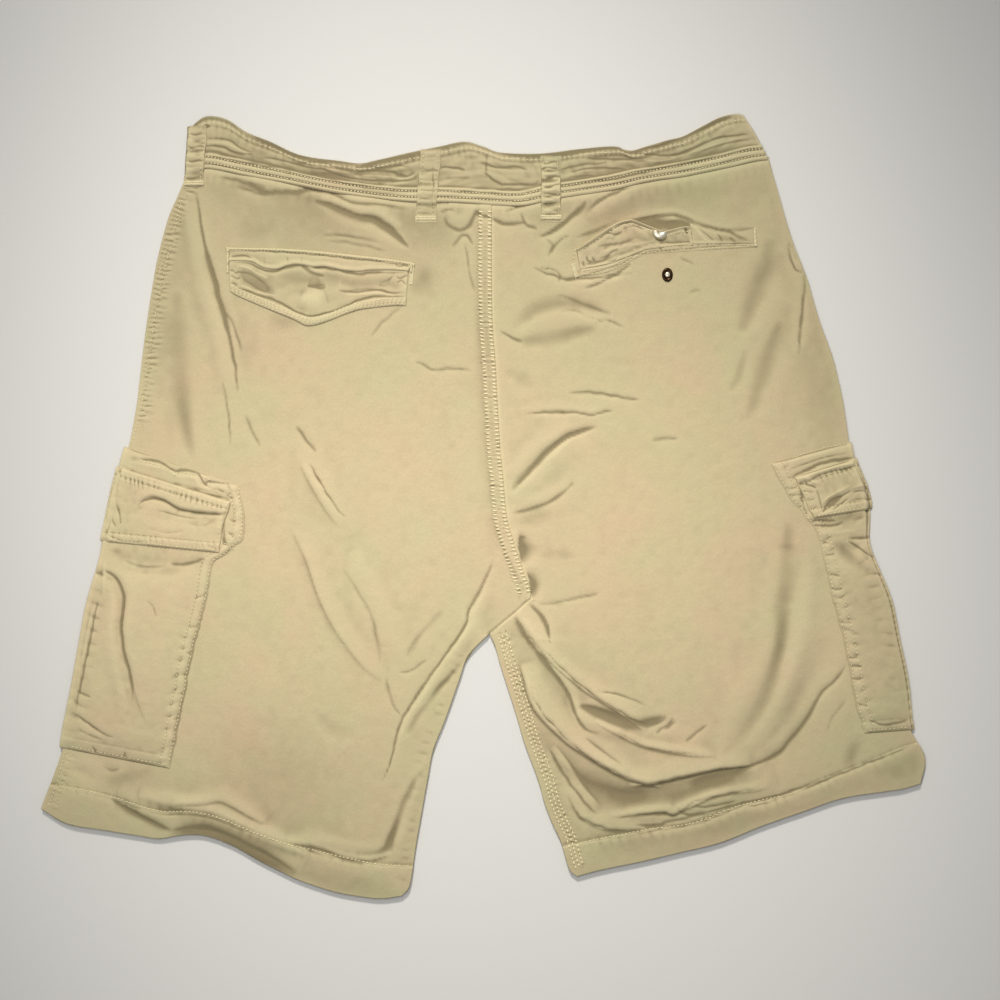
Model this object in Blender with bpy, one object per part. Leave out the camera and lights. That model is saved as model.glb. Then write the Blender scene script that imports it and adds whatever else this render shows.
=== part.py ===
"""Men's cotton twill cargo shorts, laid flat with the back side up.

Every piece that a maker cuts and sews is one closed solid. The frame is metres with +Z up, the origin
is the middle of the shorts' box on the surface they lie on, +Y runs to the waist, and -X is the
wearer's left. The tables below are in millimetres, as (x, y) places on that surface.
"""

import math

import bmesh
import bpy
import numpy as np
from mathutils import Vector
from mathutils.bvhtree import BVHTree

MM = 0.001

# Thicknesses and clearances
CLOTH = 1.6  # the wall of one panel, with the air between its threads and turnings
GAP = 0.3  # clearance at a seam and under what lies on a panel
FRONT = 1.5  # the front panels, pressed flat on the surface
BACK_FLOOR = FRONT + GAP
BACK_TOP = BACK_FLOOR + CLOTH
LIFT = 1.7  # how far the back stands off the front, away from its edges
LIFT_REACH = 24.0
FLAT_EDGE = 14.0  # the folds die out over this distance from an edge

# Hem, seams and waistband
HEM_DEPTH = 28.0
HEM_RISE = 0.8
FELL_WIDTH = 13.0  # the felled centre-back seam
FELL_RISE = 0.7
BAND_TOP = 5.0
BAND_RIPPLE = 0.7  # the band puckers along its two rows of stitching
BAND_RIPPLE_LENGTH = 34.0
BAND_SEAM_RISE = 0.9
BAND_CELLS = 72

# Belt loops, pockets and flaps
LOOP_WIDTH = 17.0
LOOP_THICK = 1.6
WELT_THICK = 1.5
FLAP_THICK = 1.5
FLAP_RIM = 7.0
FLAP_RIM_RISE = 0.6
CARGO_WALL = 1.4
CARGO_INSET = 1.8  # a cargo pocket's side lies this far inside its flap's side
CARGO_PUFF = 3.4
CARGO_TURN = 2.0  # how far the turn round the side reaches in
CARGO_TURN_INSIDE = 0.8
CARGO_FRONT_WIDTH = 96.0
CARGO_ROWS = 18
CUTOUT_GAP = 0.5
CUTOUT_START = 0.04  # where a front panel's cut-out starts, as a share of the pocket's width
SNAP_BUMP = (-145.0, 175.0)  # the closed flap's snap, which shows as a bump in the cloth
SNAP_BUMP_RISE = 1.4
SNAP_BUMP_REACH = 11.0
GAPING_LEAN = 3.2  # how high the tucked flap's edge stands

# Fastenings
SNAP_RADIUS = 6.2
STUD_RADIUS = 5.4
BUTTON_RADIUS = 8.5
BUTTON_PLACE = (-13.0, 279.0)
BUTTONHOLE_RADIUS = BUTTON_RADIUS + GAP + 0.1
FLY_WIDTH = 38.0

# Edges of the garment: (x, y)
WAIST_TOP = (
    (-249, 318), (-243, 325), (-233, 330), (-217, 327), (-200, 316), (-180, 308), (-155, 297), (-122, 292),
    (-104, 290), (-88, 293), (-62, 299), (-37, 304), (-16, 308), (0, 304), (15, 299), (48, 298), (82, 302),
    (111, 304), (123, 300), (138, 304), (155, 309), (170, 313), (187, 322), (201, 329), (214, 332),
    (221, 331),
)
WAIST_END = ((221, 331), (233, 312), (242.3, 293))
WAIST_SEAM_LEFT = (
    (-251, 281), (-233, 285), (-200, 279), (-160, 271.5), (-127, 265), (-95, 260.5), (-62, 257), (-22, 256.3),
    (1.7, 254.6),
)
WAIST_SEAM_RIGHT = (
    (1.7, 254.6), (34, 253.7), (67, 260.5), (108, 266.5), (140, 273.7), (171, 278.4), (203, 285), (228, 291),
    (242.3, 293),
)
SIDE_LEFT = (
    (-251, 281), (-259, 262), (-267, 243), (-276, 209), (-282, 175), (-287, 141), (-290, 116), (-293, 90),
    (-296, 72), (-299, 56), (-303.5, 38), (-308.5, 20), (-316.5, -12), (-322.5, -46), (-332.5, -80),
    (-339, -114), (-345, -148), (-352, -182), (-355.5, -203), (-363, -226), (-374.7, -257),
)
SIDE_RIGHT = (
    (242.3, 293), (252, 260), (262, 226), (275, 192), (285, 158), (297, 124), (305, 90), (309, 64), (313, 39),
    (321, 10), (324, -12), (324.5, -29), (329, -46), (342.5, -80), (350, -114), (357, -148), (360.5, -175),
    (363, -191), (374.7, -214), (370.8, -236),
)
HEM_LEFT = (
    (-374.7, -257), (-352, -270), (-320, -275.5), (-292, -280), (-275, -282.5), (-259, -280), (-243, -279),
    (-228, -282), (-209, -290), (-190, -301), (-172, -310), (-155, -318), (-126, -327.5), (-101, -332),
    (-85, -333.2), (-69, -331),
)
HEM_RIGHT = (
    (79.5, -314.5), (100, -309), (134, -302), (168, -294), (201, -286), (236, -272), (270, -260),
    (304, -248.5), (338, -243), (355, -240.5), (370.8, -236),
)
INSEAM_LEFT = (
    (5.5, -109), (-6, -120), (-14, -130), (-20, -148), (-32, -182), (-42, -207), (-46.5, -230), (-53, -267),
    (-57, -290), (-62, -322), (-69, -331),
)
INSEAM_RIGHT = (
    (5.8, -109.3), (10.5, -120), (15.5, -138), (28, -177), (34.6, -200), (46.8, -233), (52, -252), (59, -270),
    (66, -285), (73, -308), (79.5, -314.5),
)
CENTRE_SEAM = (
    (1.7, 254.6), (0.5, 220), (3.4, 152), (6.8, 90), (11.1, 39.5), (16, -4.7), (25.5, -42), (36.6, -77.8),
)
CROTCH_TIP = ((36.6, -77.8), (27, -89.5), (5.5, -109))
FLY_EDGE = ((-36, 256.4), (-36, 150), (-33, 128), (-24, 112), (-10, 103), (6, 100))

# Largest folds of the back. A route is the line of a fold's crest, and a valley has a negative height.
# name, height, width to the left of the route, width to its right, route
FOLDS = (
    ("crotch main", 5.0, 20, 9,
     ((40, -150), (52, -178), (66, -191), (101, -216), (138, -231), (189, -222), (222, -217))),
    ("crotch upper", 3.6, 11, 9, ((36, -100), (59, -129), (82, -150), (117, -174), (131, -186))),
    ("crotch valley", -1.8, 9, 9, ((28, -93), (40, -118), (56, -140), (74, -166), (80, -180))),
    ("outer leg", 3.8, 18, 18,
     ((256, -50), (255, -80), (252, -108), (245, -135), (229, -162), (207, -202))),
    ("outer leg valley", -2.0, 10, 10,
     ((290, -117), (282, -142), (271, -169), (250, -208), (223, -226), (196, -233))),
    ("knee ridge", 2.6, 10, 9, ((100, -262), (135, -258), (170, -254), (209, -243), (240, -236))),
    ("inner hem", 2.2, 9, 9, ((70, -243), (84, -262), (101, -269), (136, -271))),
    ("leaf upper", 2.4, 10, 12, ((19, 140), (36, 167), (64, 176), (104, 164))),
    ("leaf lower", 1.6, 9, 10, ((24, 138), (59, 140), (108, 153), (124, 150))),
    ("seam pull upper", 2.4, 9, 9, ((27, 10), (46, 32), (68, 53))),
    ("seam pull lower", 1.8, 9, 9, ((26, -8), (45, 1), (70, 14))),
    ("right side soft", -1.4, 14, 14, ((248, 205), (233, 185), (221, 156))),
    ("right side long", -1.2, 14, 14, ((255, 162), (244, 135), (232, 106))),
    ("right waist pull", 2.2, 9, 9, ((94, 258), (75, 243), (49, 226))),
    ("left waist crease", 2.4, 9, 16, ((-243, 262), (-234, 216), (-225, 184), (-216, 148), (-208, 114))),
    ("left waist soft", 1.8, 11, 10, ((-136, 258), (-111, 249), (-93, 243), (-68, 223))),
    ("left seat", 1.5, 10, 9, ((-150, 40), (-134, 13), (-114, -16))),
    ("left thigh", 2.4, 15, 12, ((-148, -52), (-133, -80), (-109, -121), (-82, -148), (-74, -170))),
    ("left inseam", 2.8, 12, 9,
     ((-2, -84), (-14, -112), (-34, -142), (-56, -178), (-66, -202), (-76, -240))),
    ("left hem roll", 2.2, 9, 11, ((-300, -246), (-266, -262), (-232, -266), (-196, -282), (-160, -300))),
    ("left hem valley", -1.2, 9, 9, ((-312, -252), (-290, -262), (-262, -275))),
    ("centre waist", 1.6, 9, 9, ((-34, 246), (-24, 232), (-8, 236))),
)

# Grid of a back panel: rows from waist to crotch, round the crotch tip, down the leg, and in the hem
ACROSS = 24
SEAT_ROWS = 17
TIP_ROWS = 3
LEG_ROWS = 14
HEM_ROWS = 2

LEFT_POCKET = {
    "outline": ((-306, 50), (-310, 36), (-318, 5), (-324.5, -30), (-328, -48), (-338, -82), (-344, -114),
                (-350, -148), (-357, -182), (-361, -205)),
    "inner": ((-206.5, 17.5), (-202, -5), (-203, -28), (-216, -40), (-228, -48), (-231, -66), (-240, -104),
              (-247, -134), (-254, -172), (-264.4, -223)),
    "flap_rows": (0.066, 0.315),
    "flap_inner": ((-213, 3.5), (-218.5, -14), (-221, -28), (-222.6, -40)),
}
RIGHT_POCKET = {
    "outline": ((314, 54), (318, 38), (330, 5), (330, -29), (335, -46), (349, -80), (356, -114), (363, -148),
                (366, -178), (368.5, -190)),
    "inner": ((244, 36), (258, 8), (272, -8), (281, -22), (287, -40), (294, -75), (303, -106), (309, -135),
              (316, -170), (323, -193)),
    "flap_rows": (0.055, 0.235),
    "flap_inner": ((263, 24), (272, 6), (280, -11)),
}
LEFT_WELT = {
    "north": ((-218.5, 219), (-180, 218), (-120, 211), (-58.7, 204.5)),
    "south": ((-217.5, 205), (-180, 204.5), (-120, 197.5), (-60, 190)),
}
LEFT_FLAP = {
    "north": ((-216.5, 204.3), (-180, 203.8), (-120, 196.8), (-61, 189.4)),
    "south": ((-214, 182), (-180, 168), (-144, 152.6), (-106, 166), (-85, 169), (-64.6, 170.5)),
}
RIGHT_WELT = {
    "north": ((82.5, 202), (100, 204), (117, 209), (134, 215.5), (149, 219.3), (168, 221), (200, 222),
              (230, 222)),
    "south": ((81.6, 194), (105, 197), (125, 205), (146, 211), (168, 213.5), (187, 214.5), (210, 215),
              (232, 216)),
}
RIGHT_FLAP = {
    "north": ((80, 218), (90, 226), (105, 235), (122, 242), (134, 239), (144, 236), (155, 233), (164, 234),
              (175, 236.5)),
    "south": ((82.5, 202.4), (100, 204.4), (117, 209.4), (134, 215.9), (149, 219.7), (168, 221.4),
              (176, 221.7)),
}
RIGHT_FACING = {
    "north": ((177.5, 239), (195, 232.5), (206, 231.6), (229.5, 233)),
    "south": ((177.5, 222.1), (195, 222.3), (210, 222.4), (229.5, 222.4)),
}
SNAP_PLACE = (150.5, 228.6)
STUD_PLACE = (156.4, 195.0)

# Belt loops: name, places of the top and the tack, rise of the slack in the middle
LOOPS = (
    ("belt_loop_left", (-45, 301), (-48, 239), 1.6),
    ("belt_loop_right", (60, 299), (57, 239), 2.2),
    ("belt_loop_side", (-242, 322), (-244, 270), 1.4),
)

def smooth(points, steps=12):
    """Catmull-Rom curve through the points, which mirrors the end points outwards."""
    p = np.array(points, float)
    p = np.vstack([2 * p[0] - p[1], p, 2 * p[-1] - p[-2]])
    t = np.linspace(0, 1, steps, endpoint=False)[:, None, None]
    a, b, c, d = (p[i : len(p) - 3 + i] for i in range(4))
    curve = 2 * b + (c - a) * t + (2 * a - 5 * b + 4 * c - d) * t**2 + (3 * b - a - 3 * c + d) * t**3
    curve = 0.5 * curve.transpose(1, 0, 2).reshape(-1, p.shape[1])
    return np.vstack([curve, p[-2]])


def lengths(curve):
    """Length along a curve up to each of its points."""
    return np.concatenate([[0], np.cumsum(np.linalg.norm(np.diff(curve, axis=0), axis=1))])


def along(points, fractions):
    """Places on the smooth curve at fractions of its length."""
    curve = smooth(points)
    run = lengths(curve)
    wanted = np.asarray(fractions) * run[-1]
    return np.stack([np.interp(wanted, run, curve[:, k]) for k in range(curve.shape[1])], axis=1)


def cut_at(points, distance_from_end):
    """Fraction of a curve's length at a distance from its end."""
    return 1 - distance_from_end / lengths(smooth(points))[-1]


def coons(north, south, west, east):
    """Surface between four edges: ruled both ways, less the bilinear blend of the corners."""
    west = np.vstack([north[:1], west[1:-1], south[:1]])
    east = np.vstack([north[-1:], east[1:-1], south[-1:]])
    u = lengths(north + south)
    v = lengths(west + east)
    u = (u / u[-1])[None, :, None]
    v = (v / v[-1])[:, None, None]
    ruled = (1 - u) * west[:, None] + u * east[:, None] + (1 - v) * north[None] + v * south[None]
    upper = (1 - v) * ((1 - u) * north[0] + u * north[-1])
    lower = v * ((1 - u) * south[0] + u * south[-1])
    return ruled - upper - lower


def patch(shape, across, down):
    """Grid of places between a piece's north and south edges."""
    u = np.linspace(0, 1, across + 1)
    north = along(shape["north"], u)
    south = along(shape["south"], u)
    v = np.linspace(0, 1, down + 1)[:, None]
    west = (1 - v) * north[0] + v * south[0]
    east = (1 - v) * north[-1] + v * south[-1]
    return coons(north, south, west, east)


def step(x):
    """Smooth rise from 0 to 1."""
    x = np.clip(x, 0, 1)
    return x * x * (3 - 2 * x)


def nearest(places, route):
    """Distance of each place from a route, signed positive to its left, and how far along it lies."""
    flat = places.reshape(-1, 2)
    start = route[:-1]
    run = np.diff(route, axis=0)
    size = np.linalg.norm(run, axis=1)
    offset = flat[:, None] - start[None]
    t = np.clip((offset * run).sum(2) / size**2, 0, 1)
    away = offset - t[..., None] * run
    gap = np.linalg.norm(away, axis=2)
    best = gap.argmin(1)
    row = np.arange(len(flat))
    side = np.sign(run[best, 0] * away[row, best, 1] - run[best, 1] * away[row, best, 0])
    far = (lengths(route)[best] + t[row, best] * size[best]) / size.sum()
    return (gap[row, best] * side).reshape(places.shape[:-1]), far.reshape(places.shape[:-1])


def fold_rise(places):
    """Sum of the folds: each is a bell across its route, with its own width on each side."""
    rise = np.zeros(places.shape[:-1])
    for _, height, left, right, points in FOLDS:
        off, far = nearest(places, smooth(points, 6))
        width = np.where(off > 0, left, right)
        rise += height * np.sin(np.pi * far).clip(0) ** 0.6 * np.exp(-((off / width) ** 2))
    return rise


def back_height(places):
    """Height of the back's outer face above the surface."""
    rise = np.full(places.shape[:-1], np.inf)
    for edge in (SIDE_LEFT, SIDE_RIGHT, HEM_LEFT, HEM_RIGHT, INSEAM_LEFT, INSEAM_RIGHT):
        rise = np.minimum(rise, np.abs(nearest(places, smooth(edge, 4))[0]))
    lift = LIFT * (1 - np.exp(-rise / LIFT_REACH))
    near_edge = step(rise / FLAT_EDGE)
    height = BACK_TOP + lift + near_edge * fold_rise(places)
    return np.maximum(height, BACK_TOP)

def grid_faces(rows, columns, first=0, turned=False):
    """Triangles of a grid of points, facing up where its rows run south and its columns east."""
    row, column = np.mgrid[0 : rows - 1, 0 : columns - 1]
    a = (first + row * columns + column).ravel()
    b, c, d = a + columns, a + columns + 1, a + 1
    faces = np.concatenate([np.stack([a, b, c], 1), np.stack([a, c, d], 1)])
    return faces[:, ::-1] if turned else faces


def rim_faces(rows, columns):
    """Triangles that close the outer and inner grids of a wall along their four edges."""
    index = np.arange(rows * columns).reshape(rows, columns)
    ring = np.concatenate([index[0, :-1], index[:-1, -1], index[-1, :0:-1], index[:0:-1, 0]])
    following = np.roll(ring, -1)
    under = rows * columns
    upper = np.stack([ring, following, following + under], 1)
    lower = np.stack([ring, following + under, ring + under], 1)
    return np.concatenate([upper, lower])


def wall(outer, inner):
    """Closed wall between two grids of points."""
    rows, columns = outer.shape[:2]
    points = np.concatenate([outer.reshape(-1, 3), inner.reshape(-1, 3)])
    faces = np.concatenate(
        [
            grid_faces(rows, columns),
            grid_faces(rows, columns, rows * columns, turned=True),
            rim_faces(rows, columns),
        ]
    )
    return points, faces


def sheet(places, top, thick):
    """Wall over a grid of places: its outer face at top, its inner face `thick` lower."""
    outer = np.dstack([places, top])
    inner = np.dstack([places, top - thick])
    return wall(outer, inner)


def material(name, colour, roughness, metallic=0.0):
    made = bpy.data.materials.get(name) or bpy.data.materials.new(name)
    made.use_nodes = True
    shader = made.node_tree.nodes["Principled BSDF"]
    shader.inputs["Base Color"].default_value = (*colour, 1)
    shader.inputs["Roughness"].default_value = roughness
    shader.inputs["Metallic"].default_value = metallic
    return made


def add_solid(name, points, faces, finish):
    """One named object from points in millimetres and triangles."""
    mesh = bpy.data.meshes.new(name)
    mesh.from_pydata((np.asarray(points) * MM).tolist(), [], np.asarray(faces).tolist())
    mesh.materials.append(finish)
    mesh.shade_smooth()
    mesh.set_sharp_from_angle(angle=math.radians(50))
    obj = bpy.data.objects.new(name, mesh)
    bpy.context.scene.collection.objects.link(obj)
    return obj


def add_plate(name, outline, thick, finish):
    """Flat plate on the surface, from an outline that runs anticlockwise seen from above."""
    mesh = bpy.data.meshes.new(name)
    shape = bmesh.new()
    corners = [shape.verts.new((x * MM, y * MM, 0)) for x, y in outline]
    face = shape.faces.new(corners)
    if face.normal.z > 0:
        face.normal_flip()
    raised = bmesh.ops.extrude_face_region(shape, geom=[face])
    bmesh.ops.translate(
        shape,
        vec=(0, 0, thick * MM),
        verts=[item for item in raised["geom"] if isinstance(item, bmesh.types.BMVert)],
    )
    bmesh.ops.recalc_face_normals(shape, faces=shape.faces)
    shape.to_mesh(mesh)
    shape.free()
    mesh.materials.append(finish)
    obj = bpy.data.objects.new(name, mesh)
    bpy.context.scene.collection.objects.link(obj)
    return obj


def add_turned(name, profile, place, sides, finish):
    """Turned piece: a closed profile of (radius, height) spun round a vertical axis at place."""
    angle = np.linspace(0, 2 * np.pi, sides, endpoint=False)
    ring = np.array([(r, z) for r, z in profile if r > 0])
    x = place[0] + ring[None, :, 0] * np.cos(angle)[:, None]
    y = place[1] + ring[None, :, 0] * np.sin(angle)[:, None]
    z = place[2] + np.broadcast_to(ring[None, :, 1], x.shape)
    count = len(ring)
    points = np.concatenate([np.stack([x, y, z], 2).reshape(-1, 3), [place]])
    points[-1, 2] = place[2] + profile[0][1]
    points = np.vstack([points, [place[0], place[1], place[2] + profile[-1][1]]])
    faces = []
    for side in range(sides):
        here, there = side * count, (side + 1) % sides * count
        faces.append((len(points) - 2, there, here))
        faces.append((len(points) - 1, here + count - 1, there + count - 1))
        for k in range(count - 1):
            faces += [(here + k, there + k, there + k + 1), (here + k, there + k + 1, here + k + 1)]
    return add_solid(name, points, faces, finish)


class Support:
    """What has been laid down so far, for the pieces that lie on it."""

    def __init__(self):
        self.trees = []

    def add(self, points, faces):
        self.trees.append(BVHTree.FromPolygons(np.asarray(points).tolist(), np.asarray(faces).tolist()))

    def height(self, places, reach=6.5):
        """Highest face under each place and within reach of it."""
        angle = np.arange(8) * math.pi / 4
        steps = np.vstack([[(0, 0)], reach * np.stack([np.cos(angle), np.sin(angle)], 1)])
        found = np.full(places.shape[:-1], BACK_TOP)
        for index in np.ndindex(found.shape):
            for x, y in places[index] + steps:
                for tree in self.trees:
                    hit = tree.ray_cast(Vector((x, y, 100)), Vector((0, 0, -1)))[0]
                    if hit:
                        found[index] = max(found[index], hit.z)
        return found


def back_panel(name, north, west_runs, east_runs, south, finish, support, fell=None):
    """Back panel: rows land on the crotch, the tip and the hem line, and the hem is a raised band."""
    counts = (SEAT_ROWS, TIP_ROWS, LEG_ROWS)
    edges = []
    for runs in (west_runs, east_runs):
        rows = [along(run, np.linspace(0, 1, count + 1))[:-1] for run, count in zip(runs[:2], counts)]
        above = cut_at(runs[2], HEM_DEPTH + 1)
        below = cut_at(runs[2], HEM_DEPTH - 1)
        leg = np.concatenate([np.linspace(0, above, LEG_ROWS + 1), np.linspace(below, 1, HEM_ROWS + 1)])
        edges.append(np.vstack([*rows, along(runs[2], leg)]))
    u = np.linspace(0, 1, ACROSS + 1)
    places = coons(along(north, u), along(south, u), *edges)
    height = back_height(places)
    height[-(HEM_ROWS + 1) :] += HEM_RISE
    if fell is not None:
        off = np.abs(nearest(places, smooth(fell, 4))[0])
        height += FELL_RISE * (off < FELL_WIDTH)
    points, faces = sheet(places, height, CLOTH)
    support.add(points, faces)
    return add_solid(name, points, faces, finish)


def split_side(side, levels):
    """A side edge cut in three runs at two heights, so that its rows match those of the inner edge."""
    curve = smooth(side)
    cuts = [int(np.abs(curve[:, 1] - level).argmin()) for level in levels]
    bounds = [0, *cuts, len(curve) - 1]
    return [curve[a : b + 1] for a, b in zip(bounds, bounds[1:])]


def shifted(points, dx, dy):
    return tuple((x + dx, y + dy) for x, y in points)


def make_backs(cloth, support):
    levels = (-92, -122)
    back_panel(
        "back_left",
        shifted(WAIST_SEAM_LEFT, 0, -GAP),
        split_side(SIDE_LEFT, levels),
        (CENTRE_SEAM, CROTCH_TIP, INSEAM_LEFT),
        HEM_LEFT,
        cloth,
        support,
        fell=CENTRE_SEAM,
    )
    back_panel(
        "back_right",
        shifted(WAIST_SEAM_RIGHT, GAP, -GAP),
        (shifted(CENTRE_SEAM, GAP, -0.2), shifted(CROTCH_TIP, GAP, -0.2), INSEAM_RIGHT),
        split_side(SIDE_RIGHT, levels),
        HEM_RIGHT,
        cloth,
        support,
    )


def make_waistband(cloth, support):
    """Back half of the waistband: ripples along it and a raised double seam at its lower edge."""
    half = np.linspace(0, 1, BAND_CELLS // 2 + 1)
    south = np.vstack([along(WAIST_SEAM_LEFT, half), along(WAIST_SEAM_RIGHT, half)[1:]])
    north = along(WAIST_TOP, np.linspace(0, 1, BAND_CELLS + 1))
    v = np.array([0, 0.2, 0.45, 0.68, 0.76, 1])
    west = (1 - v[:, None]) * north[0] + v[:, None] * south[0]
    east = along(WAIST_END, v)
    places = coons(north, south, west, east)
    wave = np.sin(2 * np.pi * places[..., 0] / BAND_RIPPLE_LENGTH + 1.3 * np.sin(places[..., 0] / 23))
    middle = np.sin(np.pi * np.clip(v, 0, 1))[:, None]
    top = BAND_TOP + BAND_RIPPLE * wave * middle
    top += BAND_SEAM_RISE * (v >= 0.75)[:, None]
    outer = np.dstack([places, top])
    inner = np.dstack([places, np.full(top.shape, BACK_FLOOR)])
    points, faces = wall(outer, inner)
    support.add(points, faces)
    add_solid("waistband_back", points, faces, cloth)


def make_fronts(cloth):
    """Front panels, fly facing and front waistband: plates that lie flat on the surface."""
    seam_left = along(WAIST_SEAM_LEFT, np.linspace(0, 1, 17))
    seam_right = along(WAIST_SEAM_RIGHT, np.linspace(0, 1, 17))
    centre = along(CENTRE_SEAM, np.linspace(0, 1, 15))
    tip = along(CROTCH_TIP, np.linspace(0, 1, 4))
    fly = along(FLY_EDGE, np.linspace(0, 1, 13))

    pocket = pocket_cutout(LEFT_POCKET, 1)
    side = along(SIDE_LEFT, np.linspace(0, 1, 31))
    above = side[side[:, 1] > pocket[0, 1] + 3]
    below = side[side[:, 1] < pocket[-1, 1] - 3]
    outline = [
        above,
        pocket,
        below,
        along(HEM_LEFT, np.linspace(0, 1, 21))[1:],
        along(INSEAM_LEFT, np.linspace(0, 1, 15))[::-1][1:],
        tip[::-1][1:],
        centre[::-1][1:][centre[::-1][1:][:, 1] < 98],
        fly[::-1] - (GAP, GAP),
        seam_left[seam_left[:, 0] < -37][::-1][:-1] - (0, GAP),
    ]
    add_plate("front_left", np.vstack(outline), FRONT, cloth)

    upper = centre[centre[:, 1] > 101]
    facing = [fly[:-1], upper[::-1] - (0, GAP), seam_left[seam_left[:, 0] > -35][:-1][::-1] - (0, GAP)]
    add_plate("fly_facing", np.vstack(facing), FRONT, cloth)

    pocket = pocket_cutout(RIGHT_POCKET, -1)
    side = along(SIDE_RIGHT, np.linspace(0, 1, 31))
    above = side[side[:, 1] > pocket[0, 1] + 3]
    below = side[side[:, 1] < pocket[-1, 1] - 3]
    outline = [
        seam_right - (0, GAP),
        above[1:],
        pocket,
        below,
        along(HEM_RIGHT, np.linspace(0, 1, 21))[::-1][1:],
        along(INSEAM_RIGHT, np.linspace(0, 1, 15))[::-1][1:-1],
        tip[::-1] + (GAP, -0.2),
        centre[::-1][1:-1] + (GAP, 0),
    ]
    add_plate("front_right", np.vstack(outline)[::-1], FRONT, cloth)

    top = along(WAIST_TOP, np.linspace(0, 1, 41))
    band = [top[::-1], seam_left, seam_right[1:], along(WAIST_END, (0.66, 0.33))]
    return add_plate("waistband_front", np.vstack(band), FRONT, cloth)


def pocket_rows(pocket, rows):
    """Where a cargo pocket's side and its inner edge lie at each row, from its top down."""
    v = np.linspace(0, 1, rows + 1)
    return along(pocket["outline"], v), along(pocket["inner"], v)


def pocket_cutout(pocket, side):
    """Edge of a front panel round the pocket's hidden front half, from the side above to the side below."""
    outer, inner = pocket_rows(pocket, CARGO_ROWS)
    outer[:, 0] += side * CARGO_INSET
    front = front_edge(outer, inner)
    start, end = outer[[0, -1]] + CUTOUT_START * (front - outer)[[0, -1]]
    front[:, 0] += side * CUTOUT_GAP
    for place, rise in ((start, 1), (front[0], 1), (front[-1], -1), (end, -1)):
        place[1] += rise * CUTOUT_GAP
    return np.vstack([start, front, end])


def front_edge(outer, inner):
    """Inner edge of the pocket's hidden front half, as wide as the back half."""
    run = inner - outer
    return outer + run * (CARGO_FRONT_WIDTH / np.linalg.norm(run, axis=1))[:, None]


def make_cargo_pocket(name, pocket, side, cloth, support):
    """Cargo pocket: one wall that runs from the front, round the side seam and onto the back."""
    outer, inner = pocket_rows(pocket, CARGO_ROWS)
    outer[:, 0] += side * CARGO_INSET
    front = front_edge(outer, inner)
    s = np.linspace(0, 1, 9)[None, 1:, None]
    over = outer[:, None] + s * (inner - outer)[:, None]
    v = np.linspace(0, 1, CARGO_ROWS + 1)[:, None]
    puff = CARGO_PUFF * np.sin(np.pi * np.clip(s[..., 0], 0, 1)) ** 0.7
    puff = puff * step((v - 0.3) / 0.15) * step((1 - v) / 0.1)
    top = support.height(over) + GAP + CARGO_WALL + puff
    shoulder = top[:, 0]
    lower = front[:, None] + np.array([0, 0.5])[None, :, None] * (outer - front)[:, None]
    inward = inner - outer
    inward /= np.linalg.norm(inward, axis=1)[:, None]
    wrap = outer[:, None] + inward[:, None] * np.array([CARGO_TURN, 0, 0, 1.2])[:, None]
    wrap_z = np.stack([0 * shoulder, 0 * shoulder + 1.6, shoulder - 1.6, shoulder - 0.3], 1)
    plan = np.concatenate([lower, wrap, over], axis=1)
    height = np.concatenate([np.zeros((len(v), 2)), wrap_z, top], axis=1)
    out = np.dstack([plan, height])
    within = plan.copy()
    turned_in = CARGO_WALL + np.array([CARGO_TURN_INSIDE, 0, 0, 0.6])
    within[:, 2:6] = outer[:, None] + inward[:, None] * turned_in[:, None]
    depth = height.copy()
    depth[:, :3] = CARGO_WALL
    depth[:, 3] = CARGO_WALL + 0.6
    depth[:, 4] = shoulder - CARGO_WALL - 0.7
    depth[:, 5:] -= CARGO_WALL
    points, faces = wall(out, np.dstack([within, depth]))
    add_solid(name, points, outward(points, faces), cloth)
    support.add(points, faces)


def outward(points, faces):
    """Faces turned so that the solid's volume is positive."""
    a, b, c = (np.asarray(points)[faces[:, k]] for k in range(3))
    volume = np.einsum("ij,ij->i", a, np.cross(b, c)).sum()
    return faces if volume > 0 else faces[:, ::-1]


def make_cargo_flap(name, pocket, cloth, support):
    """Cargo flap over the pocket, with a turned hinge and lower edge: its side goes down to the surface."""
    v = np.linspace(0, 1, 8)
    start, end = pocket["flap_rows"]
    outer = along(pocket["outline"], start + (end - start) * v)
    inner = along(pocket["flap_inner"], v)
    s = np.linspace(0, 1, 10)[None, 1:, None]
    over = outer[:, None] + s * (inner - outer)[:, None]
    rim = FLAP_RIM_RISE * np.maximum(v[:, None] > 0.8, v[:, None] < 0.15)
    top = support.height(over, 6.0) + GAP + FLAP_THICK + rim
    shoulder = top[:, 0]
    inward = inner - outer
    inward /= np.linalg.norm(inward, axis=1)[:, None]
    wrap = outer[:, None] + inward[:, None] * np.array([0, 0, 1.2])[:, None]
    wrap_z = np.stack([0 * shoulder, shoulder - 1.8, shoulder - 0.3], 1)
    plan = np.concatenate([wrap, over], axis=1)
    height = np.concatenate([wrap_z, top], axis=1)
    within = plan.copy()
    within[:, :3] = outer[:, None] + inward[:, None] * (CARGO_WALL + np.array([0, 0, 0.4]))[:, None]
    depth = height.copy()
    depth[:, 1] = shoulder - CARGO_WALL - 1.0
    depth[:, 2:] -= FLAP_THICK
    depth[:, 2] = shoulder - FLAP_THICK - 0.1
    points, faces = wall(np.dstack([plan, height]), np.dstack([within, depth]))
    add_solid(name, points, outward(points, faces), cloth)
    support.add(points, faces)


def lay_on(name, places, thick, rise, cloth, support, reach=5.0):
    """Piece that lies on what is already there, lifted by `rise` over its grid."""
    top = support.height(places, reach) + GAP + thick + rise
    points, faces = sheet(places, top, thick)
    add_solid(name, points, faces, cloth)
    return points, faces


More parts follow.
